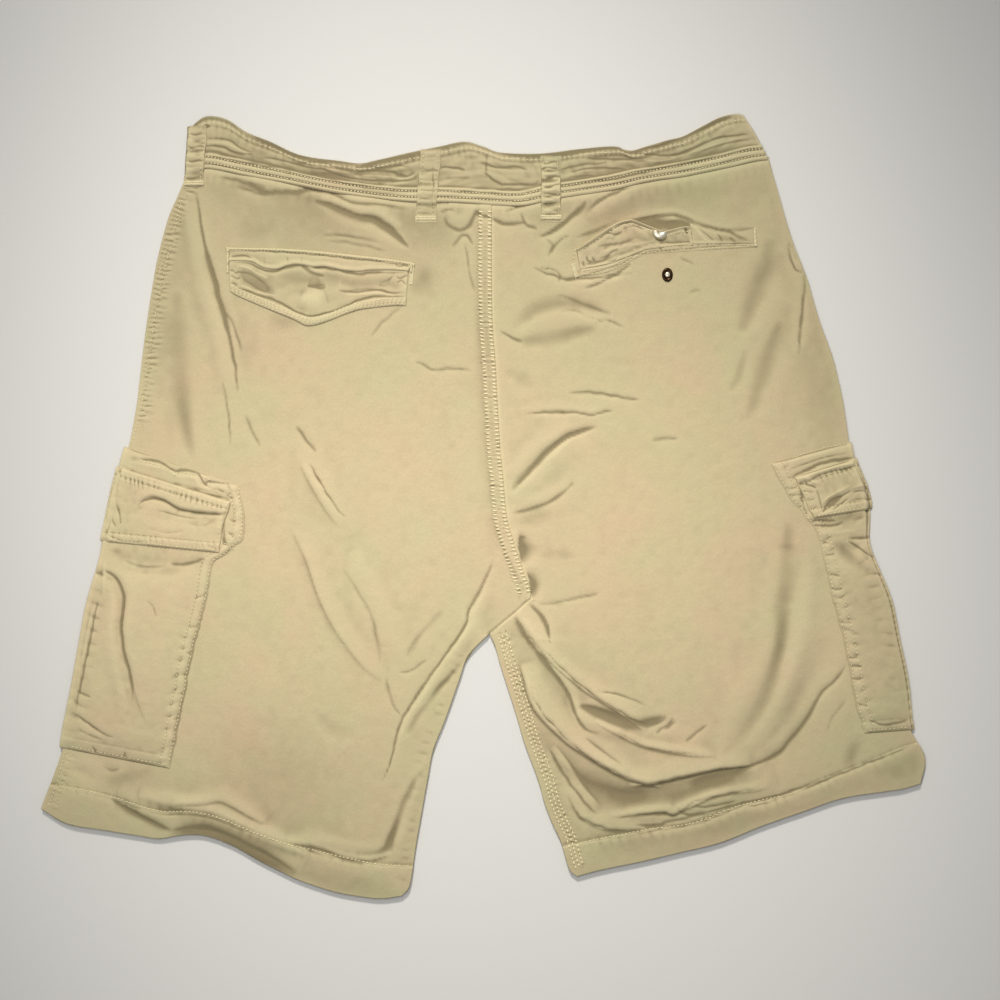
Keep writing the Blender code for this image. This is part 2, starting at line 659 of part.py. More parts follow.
def make_back_pockets(cloth, support):
    """Left pocket closed by its pointed flap, right pocket gaping with its flap tucked in."""
    lay_on("welt_left", patch(LEFT_WELT, 16, 1), WELT_THICK, 0.5, cloth, support)

    places = patch(LEFT_FLAP, 22, 5)
    off = np.abs(nearest(places, smooth(LEFT_FLAP["south"], 6))[0])
    rise = FLAP_RIM_RISE * (off < FLAP_RIM)
    snap = np.hypot(places[..., 0] - SNAP_BUMP[0], places[..., 1] - SNAP_BUMP[1])
    rise = rise + SNAP_BUMP_RISE * np.exp(-((snap / SNAP_BUMP_REACH) ** 2))
    lay_on("flap_left", places, FLAP_THICK, rise, cloth, support)

    lay_on("welt_right", patch(RIGHT_WELT, 20, 1), WELT_THICK, 0.3, cloth, support)

    places = patch(RIGHT_FLAP, 14, 4)
    lean = np.linspace(1, 0, 5)[:, None] ** 1.5 * GAPING_LEAN
    tree = lay_on("flap_right", places, FLAP_THICK, lean * np.ones(places.shape[:-1]), cloth, support)
    lay_on("facing_right", patch(RIGHT_FACING, 6, 2), FLAP_THICK, 0.6, cloth, support)
    support.add(*tree)


def make_loops(cloth, support):
    """Belt loops: flat strips from the top of the waistband to a bar tack on the panel."""
    for name, start, end, slack in LOOPS:
        v = np.linspace(0, 1, 11)[:, None]
        middle = (1 - v) * np.array(start) + v * np.array(end)
        half = LOOP_WIDTH / 2 * np.array([-1, -0.4, 0.4, 1])
        places = np.stack([middle[:, None, 0] + half, np.broadcast_to(middle[:, None, 1], (11, 4))], axis=2)
        crown = 0.3 * np.array([0, 1, 1, 0])
        rise = slack * np.sin(np.pi * v) ** 2 + crown
        height = support.height(places, 4.0)
        height = np.maximum(height, height.max(axis=1, keepdims=True) - 0.2)
        top = height + GAP + LOOP_THICK + rise
        points, faces = sheet(places, top, LOOP_THICK)
        add_solid(name, points, faces, cloth)


def make_fastenings(cloth, nickel, bronze, horn, band, support):
    """Snap socket on the tucked flap, snap stud on the panel, and the waist button in its buttonhole."""
    ground = support.height(np.array([[SNAP_PLACE]]), SNAP_RADIUS)[0, 0] + GAP
    socket = (
        (0, 0), (SNAP_RADIUS, 0), (SNAP_RADIUS, 1.2), (SNAP_RADIUS - 1, 2.0), (3.6, 2.0), (3.0, 1.1),
        (0, 1.1),
    )
    add_turned("snap_socket", socket, (*SNAP_PLACE, ground), 20, nickel)

    ground = support.height(np.array([[STUD_PLACE]]), STUD_RADIUS)[0, 0] + GAP
    stud = (
        (0, 0), (STUD_RADIUS, 0), (STUD_RADIUS, 0.8), (STUD_RADIUS - 1, 1.4), (2.4, 1.1), (2.1, 2.4),
        (2.6, 3.0), (1.6, 3.6), (0, 3.6),
    )
    add_turned("snap_stud", stud, (*STUD_PLACE, ground), 20, bronze)

    rim = BUTTON_RADIUS - 0.4
    button = ((0, 0), (rim, 0), (BUTTON_RADIUS, 0.4), (BUTTON_RADIUS, FRONT - 0.4), (rim, FRONT), (0, FRONT))
    add_turned("waist_button", button, (*BUTTON_PLACE, 0), 28, horn)
    bpy.ops.mesh.primitive_cylinder_add(
        vertices=28,
        radius=BUTTONHOLE_RADIUS * MM,
        depth=8 * MM,
        location=(BUTTON_PLACE[0] * MM, BUTTON_PLACE[1] * MM, 0),
    )
    hole = bpy.context.active_object
    hole.name = "buttonhole_cutter"
    hole.hide_render = True
    cut = band.modifiers.new("buttonhole", "BOOLEAN")
    cut.object = hole


def main():
    for obj in list(bpy.data.objects):
        bpy.data.objects.remove(obj)
    cloth = material("khaki_cotton_twill", (0.55, 0.47, 0.28), 0.85)
    nickel = material("nickel_plated_brass", (0.65, 0.62, 0.55), 0.3, 1.0)
    bronze = material("aged_bronze", (0.10, 0.07, 0.045), 0.4, 1.0)
    horn = material("horn_button", (0.12, 0.08, 0.05), 0.4)
    support = Support()
    band = make_fronts(cloth)
    make_backs(cloth, support)
    make_waistband(cloth, support)
    make_cargo_pocket("cargo_pocket_left", LEFT_POCKET, 1, cloth, support)
    make_cargo_pocket("cargo_pocket_right", RIGHT_POCKET, -1, cloth, support)
    make_cargo_flap("cargo_flap_left", LEFT_POCKET, cloth, support)
    make_cargo_flap("cargo_flap_right", RIGHT_POCKET, cloth, support)
    make_back_pockets(cloth, support)
    make_loops(cloth, support)
    make_fastenings(cloth, nickel, bronze, horn, band, support)


main()
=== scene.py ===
# Khaki twill cargo shorts, laid flat with the back side up, as detailed surfaces over the imported frame.
# Each cloth piece is a thin closed shell whose outer face is a dense grid of points. Places in the tables
# are millimetres from the middle of the garment, with +x to the wearer's right and +y to the waist.
# A fold is a rise, its width, a second width where its right side differs from its left, and its route.
# A shade is written the same way and is painted into the cloth's colour: a negative rise is painted shade,
# a positive one painted light.

import math

import bpy
import numpy as np
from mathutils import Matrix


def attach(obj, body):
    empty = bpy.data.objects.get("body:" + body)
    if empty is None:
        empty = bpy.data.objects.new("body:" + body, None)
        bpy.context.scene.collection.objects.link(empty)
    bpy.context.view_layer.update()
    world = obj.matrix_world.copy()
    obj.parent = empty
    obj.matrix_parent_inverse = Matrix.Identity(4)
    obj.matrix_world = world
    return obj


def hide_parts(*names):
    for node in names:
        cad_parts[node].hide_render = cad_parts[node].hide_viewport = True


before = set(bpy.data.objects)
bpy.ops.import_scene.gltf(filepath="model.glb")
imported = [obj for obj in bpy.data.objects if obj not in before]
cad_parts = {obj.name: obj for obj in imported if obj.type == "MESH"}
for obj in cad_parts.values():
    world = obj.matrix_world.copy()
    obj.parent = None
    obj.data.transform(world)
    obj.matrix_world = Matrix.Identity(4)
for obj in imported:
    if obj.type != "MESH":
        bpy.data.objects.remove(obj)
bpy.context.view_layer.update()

mm = 0.001
gap = 0.3
underside = 1.8  # the back panels lie on the fronts at this height
panelTop = 3.4  # outer face of a back panel at its edges


# Curve through the points; its tangent at each is half the step between the neighbours.
def smooth(points, steps=12):
    p = np.array(points, float)
    p = np.vstack([2 * p[0] - p[1], p, 2 * p[-1] - p[-2]])
    t = np.linspace(0, 1, steps, endpoint=False)[:, None, None]
    a, b, c, d = (p[i : len(p) - 3 + i] for i in range(4))
    curve = 2 * b + (c - a) * t + (2 * a - 5 * b + 4 * c - d) * t**2 + (3 * b - a - 3 * c + d) * t**3
    return np.vstack([0.5 * curve.transpose(1, 0, 2).reshape(-1, p.shape[1]), p[-2]])


# Length of a curve up to each of its points.
def lengths(curve):
    return np.concatenate([[0], np.cumsum(np.linalg.norm(np.diff(curve, axis=0), axis=1))])


# Places on a curve at fractions of its length.
def spaced(curve, fractions):
    run = lengths(curve)
    return np.stack([np.interp(np.asarray(fractions) * run[-1], run, column) for column in curve.T], axis=1)


# The same on the smooth curve through a few points.
def along(points, fractions):
    return spaced(smooth(points), fractions)


# The curve moved to its left, by one distance or by a distance at each point.
def aside(curve, distance):
    heading = np.gradient(curve, axis=0)
    heading /= np.linalg.norm(heading, axis=1)[:, None].clip(1e-9)
    return curve + np.reshape(distance, (-1, 1)) * np.column_stack([-heading[:, 1], heading[:, 0]])


# Surface between four edges: ruled both ways, less the bilinear blend of the corners.
def coons(north, south, west, east):
    west = np.vstack([north[:1], west[1:-1], south[:1]])
    east = np.vstack([north[-1:], east[1:-1], south[-1:]])
    u = lengths(north + south)
    v = lengths(west + east)
    u = (u / u[-1])[None, :, None]
    v = (v / v[-1])[:, None, None]
    ruled = (1 - u) * west[:, None] + u * east[:, None] + (1 - v) * north[None] + v * south[None]
    upper = (1 - u) * (1 - v) * north[0] + u * (1 - v) * north[-1]
    return ruled - upper - (1 - u) * v * south[0] - u * v * south[-1]


# Smooth rise from 0 to 1.
def step(x):
    x = np.clip(x, 0, 1)
    return x * x * (3 - 2 * x)


# 1 at 0, and falling to both sides as exp(-x squared).
def bell(x):
    return np.exp(-np.square(x))


# Distance of each place from a route, positive to its left, and how far along it lies from 0 to 1.
def nearest(places, route):
    flat = places.reshape(-1, 2)
    start, run = route[:-1], np.diff(route, axis=0)
    size = np.hypot(run[:, 0], run[:, 1]).clip(1e-6)
    total = np.concatenate([[0], np.cumsum(size)])
    off, far = np.empty(len(flat)), np.empty(len(flat))
    for first in range(0, len(flat), 20000):
        part = slice(first, first + 20000)
        x = flat[part, :1] - start[:, 0]
        y = flat[part, 1:] - start[:, 1]
        t = ((x * run[:, 0] + y * run[:, 1]) / size**2).clip(0, 1)
        x -= t * run[:, 0]
        y -= t * run[:, 1]
        best = (x * x + y * y).argmin(1)
        row = np.arange(len(best))
        x, y, t = x[row, best], y[row, best], t[row, best]
        off[part] = np.hypot(x, y) * np.where(run[best, 0] * y - run[best, 1] * x < 0, -1, 1)
        far[part] = (total[best] + t * size[best]) / total[-1]
    return off.reshape(places.shape[:-1]), far.reshape(places.shape[:-1])


lattice = np.random.default_rng(23).uniform(-1, 1, (97, 89))


# Smooth noise from -1 to 1, with about one lump to each unit of x and y.
def lumps(x, y, shift=0):
    x, y = x + 17.3 * shift, y + 9.1 * shift
    i, j = np.floor(x).astype(int), np.floor(y).astype(int)
    fx, fy = step(x - i), step(y - j)
    a, b = lattice[i % 97, j % 89], lattice[(i + 1) % 97, j % 89]
    c, d = lattice[i % 97, (j + 1) % 89], lattice[(i + 1) % 97, (j + 1) % 89]
    return (1 - fy) * ((1 - fx) * a + fx * b) + fy * ((1 - fx) * c + fx * d)


# Which places lie within reach of the box round a route.
def around(places, route, reach):
    return ((places > route.min(0) - reach) & (places < route.max(0) + reach)).all(-1)


# Adds each fold of a table to the heights over a grid of places. A narrow fold is a sharp crease, one
# with a steep side is a quarter ellipse on that side, and the rest are bells. Each fades at its two ends,
# and a wide one runs on past them by part of its width, so that a short one is a round lump.
def addFolds(height, places, table):
    for rise, left, *points in table.values():
        right = left if isinstance(points[0], tuple) else points.pop(0)
        route = smooth(points, 6)
        wide = max(left, right)
        longer = (0.25 if wide < 4.5 else 0.75) * wide
        for end, beside in ((0, 1), (-1, -2)):
            route[end] += longer * (route[end] - route[beside]) / np.linalg.norm(route[end] - route[beside])
        near = around(places, route, 3.6 * wide)
        if not near.any():
            continue
        off, far = nearest(places[near], route)
        total = lengths(route)[-1]
        shift = abs(points[0][0]) / 7
        run = far * total / np.clip(wide / 2, 1, 9)
        wander = 1 + 0.3 * lumps(run / 13, 0 * far + shift)
        off += min(0.3 * wide, 0.7) * lumps(run / 6, 0 * far + shift + 5)
        ends = (1 - np.abs(2 * far - 1) ** np.clip(total / wide / 3, 1.7, 3.5)).clip(0)
        across = np.abs(off) / (np.where(off > 0, left, right) * (0.5 + 0.5 * ends) * wander).clip(0.05)
        form = np.exp(-1.15 * across) if max(left, right) < 4.5 else bell(across)
        if max(left, right) > 2.2 * min(left, right):
            steep = (off > 0) == (left < right)
            form = np.where(steep, (1 - np.square(across / 1.25)).clip(0) ** 0.8, bell(across))
        uneven = 1 + 0.35 * lumps(run / 8, 0 * far + shift + 9)
        height[near] += rise * ends * uneven * form


# Adds the short uneven folds that a row of stitching draws up across itself: round between sharp valleys.
def pucker(height, places, points, away, width, pitch, rise, slant=0.0, shift=0):
    route = smooth(points, 6)
    total = lengths(route)[-1]
    near = around(places, route, abs(away) + 2.6 * width)
    off, far = nearest(places[near], route)
    run = far * total + slant * (off - away)
    phase = np.pi * run / pitch + 1.5 * lumps(run / (2.3 * pitch), off / 19, shift)
    strength = 0.55 + 0.6 * lumps(run / (1.6 * pitch), off / 8, shift + 3)
    ends = step(far * total / 4) * step((1 - far) * total / 4)
    height[near] += rise * strength * (1.6 * np.abs(np.sin(phase)) - 1) * bell((off - away) / width) * ends


# The highest cloth so far, one value to each square millimetre, which later pieces lie on.
west, south = -395, -350
ground = np.zeros((701, 791))


# Bilinear reading of a field with one value to each square millimetre.
def at(field, places):
    x = np.clip(places[..., 0] - west, 0, field.shape[1] - 1.001)
    y = np.clip(places[..., 1] - south, 0, field.shape[0] - 1.001)
    i, j = x.astype(int), y.astype(int)
    x, y = x - i, y - j
    lower = (1 - x) * field[j, i] + x * field[j, i + 1]
    upper = (1 - x) * field[j + 1, i] + x * field[j + 1, i + 1]
    return (1 - y) * lower + y * upper


# Runs a filter over a field's neighbours, first one way and then the other.
def spread(field, how, reach=1):
    for axis in (0, 1):
        field = how([np.roll(field, shift, axis) for shift in range(-reach, reach + 1)], axis=0)
    return field


# The ground as cloth on top of it follows it: never lower, and a little smoothed.
def drape():
    return spread(spread(ground, np.max), np.mean)


# Marks a piece's outer face on the ground, where it is the highest so far.
def lay(outer):
    fine = outer
    for _ in range(2):
        middle = (fine[1:] + fine[:-1]) / 2
        doubled = np.empty((2 * len(fine) - 1, *fine.shape[1:]))
        doubled[::2], doubled[1::2] = fine, middle
        fine = doubled.transpose(1, 0, 2)
    i = np.rint(fine[..., 0] - west).astype(int)
    j = np.rint(fine[..., 1] - south).astype(int)
    np.maximum.at(ground, (j, i), fine[..., 2])


# Mean over a grid's neighbours, with its edges repeated outwards.
def blurGrid(values, reach):
    for axis in (0, 1):
        wide = np.pad(values, [(reach + 1, reach) if k == axis else (0, 0) for k in (0, 1)], mode="edge")
        total = np.cumsum(wide, axis=axis)
        ahead = np.take(total, range(2 * reach + 1, total.shape[axis]), axis=axis)
        behind = np.take(total, range(0, total.shape[axis] - 2 * reach - 1), axis=axis)
        values = (ahead - behind) / (2 * reach + 1)
    return values


# A shader node with its settings; an input is a value, or a socket to link from.
def addNode(tree, kind, inputs=None, **settings):
    made = tree.nodes.new(kind)
    for key, value in settings.items():
        setattr(made, key, value)
    for key, value in (inputs or {}).items():
        if isinstance(value, bpy.types.NodeSocket):
            tree.links.new(value, made.inputs[key])
        else:
            made.inputs[key].default_value = value
    return made


# Linear colour of an sRGB hex code.
def colour(code):
    parts = [int(code[k : k + 2], 16) / 255 for k in (1, 3, 5)]
    return (*(c / 12.92 if c <= 0.04045 else ((c + 0.055) / 1.055) ** 2.4 for c in parts), 1.0)


# A material with one shader, and its node tree.
def newMaterial(name):
    made = bpy.data.materials.new(name)
    made.use_nodes = True
    tree = made.node_tree
    tree.nodes.clear()
    shader = addNode(tree, "ShaderNodeBsdfPrincipled")
    addNode(tree, "ShaderNodeOutputMaterial", {"Surface": shader.outputs[0]})
    return made, tree, shader


# The first colour, with a share of the second.
def mixColours(tree, share, first, second):
    mixed = addNode(tree, "ShaderNodeMix", {0: share, 6: first, 7: second}, data_type="RGBA")
    return mixed.outputs[2]


# A value between low and high, carried over to the range from start to end.
def remap(tree, value, low, high, start, end):
    return addNode(tree, "ShaderNodeMapRange", {0: value, 1: low, 2: high, 3: start, 4: end}).outputs[0]


twillLook = {
    "greenish": "#C6BB91",  # the two dye tones that drift into each other
    "pinkish": "#CEB793",
    "outsideLightPool": "#E1E5E3",  # filters the colour outside the painted pool of light: painted shade at the waist, the hems and the far side
    "shadedAndSoiled": "#6B5F42",  # painted shade in valleys, creases and shaded patches, and soiling along sewn edges
    "litAndWorn": "#EBDDB2",  # painted highlight on ridges and turned edges, and wear there
    # How far the painted shade with soiling, and the painted highlight with wear, are mixed into the
    # colour.
    "shadeAndSoilShare": 0.72,
    "highlightAndWearShare": 0.24,
}


# Washed cotton twill, matt and soft, with faint diagonal ribs and slubs.
def twillMaterial(look):
    made, tree, shader = newMaterial("khakiTwill")
    place = addNode(tree, "ShaderNodeTexCoord").outputs["Object"]
    soft = {"Vector": place, "Scale": 13.0, "Detail": 3.0, "Roughness": 0.6}
    drift = addNode(tree, "ShaderNodeTexNoise", soft)
    share = remap(tree, drift.outputs[0], 0.3, 0.7, 0.0, 1.0)
    base = mixColours(tree, share, colour(look["greenish"]), colour(look["pinkish"]))
    # The attribute read here is a painted pool of light: 1 where the cloth is painted brightest, 0 at the
    # waist and the hems, which get painted shade.
    lightPool = addNode(tree, "ShaderNodeAttribute", attribute_name="lightPool").outputs["Fac"]
    poolFilter = mixColours(tree, lightPool, colour(look["outsideLightPool"]), (1, 1, 1, 1))
    base = addNode(tree, "ShaderNodeVectorMath", {0: base, 1: poolFilter}, operation="MULTIPLY").outputs[0]
    # This attribute is painted shade where negative, in valleys, creases and the shade tables' patches, and
    # a painted highlight where positive, on ridges and turned edges; soiling and wear are mixed into both.
    paintedShadeAndWear = addNode(tree, "ShaderNodeAttribute", attribute_name="paintedShadeAndWear").outputs["Fac"]
    shadeAndSoil = remap(tree, paintedShadeAndWear, 0.0, -1.0, 0.0, look["shadeAndSoilShare"])
    base = mixColours(tree, shadeAndSoil, base, colour(look["shadedAndSoiled"]))
    highlightAndWearShare = remap(tree, paintedShadeAndWear, 0.0, 1.0, 0.0, look["highlightAndWearShare"])
    base = mixColours(tree, highlightAndWearShare, base, colour(look["litAndWorn"]))
    # Slubs in the yarn show as faint lighter and darker flecks about a millimetre long.
    fleck = addNode(tree, "ShaderNodeTexNoise", {"Vector": place, "Scale": 900.0, "Detail": 2.0})
    flecked = remap(tree, fleck.outputs[0], 0.3, 0.7, 0.95, 1.05)
    base = addNode(tree, "ShaderNodeVectorMath", {0: base, 1: flecked}, operation="MULTIPLY").outputs[0]
    # Twill's ribs lie 0.7 mm apart and climb to the right; the sine bands are turned to their slope.
    turned = addNode(tree, "ShaderNodeMapping", {"Vector": place, "Rotation": (0, 0, math.radians(27))})
    bands = {"Vector": turned.outputs[0], "Scale": 449.0, "Distortion": 0.6}
    ribs = addNode(tree, "ShaderNodeTexWave", bands).outputs[1]
    ribbed = addNode(tree, "ShaderNodeBump", {"Height": ribs, "Strength": 0.25, "Distance": 0.0001})
    # Washing leaves small soft crumples all over.
    crumple = addNode(tree, "ShaderNodeTexNoise", {"Vector": place, "Scale": 120.0, "Detail": 4.0})
    bumped = addNode(tree, "ShaderNodeBump", {
        "Height": crumple.outputs[0], "Strength": 0.6, "Distance": 0.0008, "Normal": ribbed.outputs[0]})
    tree.links.new(base, shader.inputs["Base Color"])
    tree.links.new(bumped.outputs[0], shader.inputs["Normal"])
    shader.inputs["Roughness"].default_value = 0.88
    shader.inputs["Specular IOR Level"].default_value = 0.18
    return made


# One colour with a faint grain, which breaks up its highlights.
def plainMaterial(name, code, roughness, metallic=0.0, grain=0.0):
    made, tree, shader = newMaterial(name)
    place = addNode(tree, "ShaderNodeTexCoord").outputs["Object"]
    noise = addNode(tree, "ShaderNodeTexNoise", {"Vector": place, "Scale": 700.0, "Detail": 2.0})
    tint = remap(tree, noise.outputs[0], 0.3, 0.7, 1 - grain, 1 + grain)
    scaled = addNode(tree, "ShaderNodeVectorMath", {0: colour(code)[:3], 1: tint}, operation="MULTIPLY")
    tree.links.new(scaled.outputs[0], shader.inputs["Base Color"])
    shader.inputs["Roughness"].default_value = roughness
    shader.inputs["Metallic"].default_value = metallic
    return made


twill = twillMaterial(twillLook)
thread = plainMaterial("spunThread", "#E6D9AE", 0.8, grain=0.12)  # a little lighter than the cloth
nickel = plainMaterial("nickelPlatedBrass", "#E8DFC6", 0.42, metallic=1.0, grain=0.05)
bronze = plainMaterial("agedBronze", "#3A2A1C", 0.34, metallic=1.0, grain=0.15)
horn = plainMaterial("hornButton", "#4A3524", 0.35, grain=0.2)
print("materials")


# Painted pool of light: 1 over the seat and thighs, which are painted brightest, and 0 at the waist, the
# hems and the far side, which are painted in shade.
def paintedLightPool(places):
    x, y = places[:, 0], places[:, 1]
    return bell((y + 30) / 250) ** 1.2 * (1 - 0.5 * step((x - 130) / 260))


# One smooth-shaded object from points in millimetres and its four- and three-sided faces.
def addMesh(name, points, quads, triangles, finish, paintedShadeAndWear=None):
    mesh = bpy.data.meshes.new(name)
    corners = np.concatenate([quads.ravel(), triangles.ravel()]).astype(np.int32)
    starts = np.concatenate([4 * np.arange(len(quads)), 4 * len(quads) + 3 * np.arange(len(triangles))])
    mesh.vertices.add(len(points))
    mesh.vertices.foreach_set("co", (np.asarray(points) * mm).astype(np.float32).ravel())
    mesh.loops.add(len(corners))
    mesh.loops.foreach_set("vertex_index", corners)
    mesh.polygons.add(len(starts))
    mesh.polygons.foreach_set("loop_start", starts.astype(np.int32))
    mesh.update(calc_edges=True)
    mesh.validate()
    mesh.shade_smooth()
    if paintedShadeAndWear is not None:
        lightPool = paintedLightPool(np.asarray(points)).astype(np.float32)
        mesh.attributes.new("lightPool", "FLOAT", "POINT").data.foreach_set("value", lightPool)
        mesh.attributes.new("paintedShadeAndWear", "FLOAT", "POINT").data.foreach_set("value", paintedShadeAndWear.astype(np.float32))
    mesh.materials.append(finish)
    obj = bpy.data.objects.new(name, mesh)
    bpy.context.scene.collection.objects.link(obj)
    return obj


# Faces of a grid whose rows run to -y and columns to +x, facing up.
def gridQuads(rows, columns, first=0):
    row, column = np.mgrid[0 : rows - 1, 0 : columns - 1]
    a = (first + row * columns + column).ravel()
    return np.stack([a, a + columns, a + columns + 1, a + 1], 1)


# The points on a grid's rim, in order round it.
def ringOf(rows, columns):
    index = np.arange(rows * columns).reshape(rows, columns)
    return np.concatenate([index[0, :-1], index[:-1, -1], index[-1, :0:-1], index[:0:-1, 0]])


# Closed thin shell. The inner face keeps one grid line in `coarse`, and a rim of triangles joins the two.
# Its tone is painted shade in the hollows of the outer face and a painted highlight on its ridges, over
# about 3 mm for the lines and 12 mm for the folds, with the shade tables added and its rim set to `edge`.
def shell(name, outer, inner, coarse, shade=0.0, pitch=1.4, edge=0.25):
    rows, columns = outer.shape[:2]
    sparse = inner[::coarse, ::coarse]
    few, fewer = sparse.shape[:2]
    count = rows * columns
    ring = ringOf(rows, columns)
    under = ringOf(few, fewer) + count
    fans = np.stack([ring, np.roll(ring, -1), under[np.arange(len(ring)) // coarse]], 1)
    closing = np.stack([under, np.roll(ring[::coarse], -1), np.roll(under, -1)], 1)
    quads = np.concatenate([gridQuads(rows, columns), gridQuads(few, fewer, count)[:, ::-1]])
    height = outer[..., 2]
    fine, broad = max(2, round(1.9 / pitch)), max(5, round(8 / pitch))
    paintedShadeAndWear = (height - blurGrid(height, fine)) / (0.22 + 0.18 * pitch)
    paintedShadeAndWear = (paintedShadeAndWear + 0.55 * (height - blurGrid(height, broad)) / 0.9 + shade).clip(-1, 1)
    paintedShadeAndWear[[0, -1]] = edge
    paintedShadeAndWear[:, [0, -1]] = edge
    paintedShadeAndWear = np.concatenate([paintedShadeAndWear.ravel(), np.zeros(few * fewer)])
    points = np.concatenate([outer.reshape(-1, 3), sparse.reshape(-1, 3)])
    return addMesh(name, points, quads, np.concatenate([fans, closing]), twill, paintedShadeAndWear)


# Ties a cloth piece to the root and hides the solid that it stands for.
def finishPiece(obj, node):
    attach(obj, "root")
    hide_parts(node)


# Places along a length, crowded at both ends for a rolled edge; their number suits a coarser inner face.
def marks(total, pitch, offsets=(0, 0.15, 0.6, 1.4, 2.6), multiple=1):
    offsets = np.array(offsets)
    count = int((total - 2 * offsets[-1]) / pitch)
    count += -(count + 2 * (len(offsets) - 1)) % multiple
    middle = np.linspace(offsets[-1], total - offsets[-1], count + 1)
    return np.concatenate([offsets[:-1], middle, total - offsets[-2::-1]])


# How far a rounded edge has dropped at a distance from its end.
def rolled(distance, radius):
    inside = (radius - distance).clip(0, radius)
    return radius - np.sqrt(radius**2 - inside**2)


# Distance of each grid point from the north, south, west and east edges, along the grid's own lines.
def gridRuns(places):
    down = np.linalg.norm(np.diff(places, axis=0), axis=2)
    across = np.linalg.norm(np.diff(places, axis=1), axis=2)
    north = np.vstack([np.zeros((1, places.shape[1])), np.cumsum(down, axis=0)])
    left = np.hstack([np.zeros((places.shape[0], 1)), np.cumsum(across, axis=1)])
    return {"north": north, "south": north[-1:] - north, "west": left, "east": left[:, -1:] - left}


stitchRows = []


# Keeps one row of stitches along a line of points on the cloth. They can be turned from the line.
def sew(path, length=2.2, pitch=3.4, lift=0.15, radius=0.38, turn=0.0):
    run = lengths(path)
    count = int(run[-1] / pitch)
    if count < 1:
        return
    uneven = 0.16 * pitch * lumps(np.arange(count) * 0.83, np.full(count, run[-1] / 9))
    middle = (np.arange(count) + 0.5) * run[-1] / count + uneven
    ends = [np.stack([np.interp(middle + shift, run, column) for column in path.T], 1)
            for shift in (-0.5, 0.5)]
    heading = ends[1] - ends[0]
    if turn:
        angle = turn + 0.25 * lumps(np.arange(count) * 0.7, np.zeros(count), 24)
        cosine, sine = np.cos(angle), np.sin(angle)
        x, y, z = heading.T
        heading = np.column_stack([x * cosine - y * sine, x * sine + y * cosine, z])
    heading /= np.linalg.norm(heading, axis=1)[:, None].clip(1e-6)
    centre = (ends[0] + ends[1]) / 2 + (0, 0, lift)
    stitchRows.append((centre, heading, np.full(count, length), np.full(count, radius)))


# Row along a route on the highest cloth.
def sewOnGround(points, **settings):
    route = along(points, np.linspace(0, 1, 240))
    sew(np.column_stack([route, at(ground, route)]), **settings)


# Row at a constant distance from one edge of a piece, on its outer face.
def sewOnGrid(outer, runs, edge, distance, trim=2.0, **settings):
    down = edge in ("north", "south")
    index = np.abs(runs[edge] - distance).argmin(0 if down else 1)
    line = np.arange(len(index))
    path = outer[index, line] if down else outer[line, index]
    kernel = np.ones(5) / 5
    padded = np.pad(path, ((2, 2), (0, 0)), mode="edge")
    path = np.stack([np.convolve(column, kernel, mode="valid") for column in padded.T], 1)
    run = lengths(path)
    keep = (run > trim) & (run < run[-1] - trim)
    if keep.sum() > 2:
        sew(path[keep], **settings)


# Dense bar of short stitches laid across the line from start to end.
def barTack(start, end, rows=(0,), pitch=0.8, length=2.4):
    start, end = np.array(start, float), np.array(end, float)
    size = np.linalg.norm(end - start)
    way = (end - start) / size
    across = np.array([-way[1], way[0]])
    for row in rows:
        count = int(size / pitch)
        places = start + (np.arange(count) + 0.5)[:, None] * size / count * way + across * row
        height = at(spread(ground, np.max), places)
        heading = np.column_stack([np.tile(across + 0.25 * way, (count, 1)), np.zeros(count)])
        heading /= np.linalg.norm(heading, axis=1)[:, None]
        centre = np.column_stack([places, height + 0.2])
        stitchRows.append((centre, heading, np.full(count, length), np.full(count, 0.45)))


# All the rows as one mesh: each stitch is a four-sided spindle along its heading.
def addStitches():
    centre, heading, length, radius = (np.concatenate(parts) for parts in zip(*stitchRows))
    rings = np.array([-0.36, 0.0, 0.36])
    swell = np.array([0.8, 1.0, 0.8])
    angle = np.pi / 4 + np.arange(4) * np.pi / 2
    up = np.array([0.0, 0.0, 1.0]) - heading[:, 2:] * heading
    up /= np.linalg.norm(up, axis=1)[:, None].clip(1e-6)
    side = np.cross(heading, up)
    axis = centre[:, None] + rings[None, :, None] * (length[:, None, None] * heading[:, None])
    ringWay = np.cos(angle)[:, None] * side[:, None] + 0.85 * np.sin(angle)[:, None] * up[:, None]
    body = axis[:, :, None] + (swell[None, :, None, None] * radius[:, None, None, None]) * ringWay[:, None]
    sink = np.array([0, 0, 0.3])
    first = centre - 0.5 * length[:, None] * heading - sink
    last = centre + 0.5 * length[:, None] * heading - sink
    points = np.concatenate([body.reshape(len(centre), 12, 3), first[:, None], last[:, None]], 1)
    quads = [(r + k, r + (k + 1) % 4, r + 4 + (k + 1) % 4, r + 4 + k) for r in (0, 4) for k in range(4)]
    triangles = [(12, (k + 1) % 4, k) for k in range(4)] + [(13, 8 + k, 8 + (k + 1) % 4) for k in range(4)]
    start = 14 * np.arange(len(centre))[:, None, None]
    quads = (start + np.array(quads)).reshape(-1, 4)
    triangles = (start + np.array(triangles)).reshape(-1, 3)
    obj = addMesh("stitches", points.reshape(-1, 3), quads[:, ::-1], triangles[:, ::-1], thread)
    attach(obj, "root")
    print("stitches", len(centre))


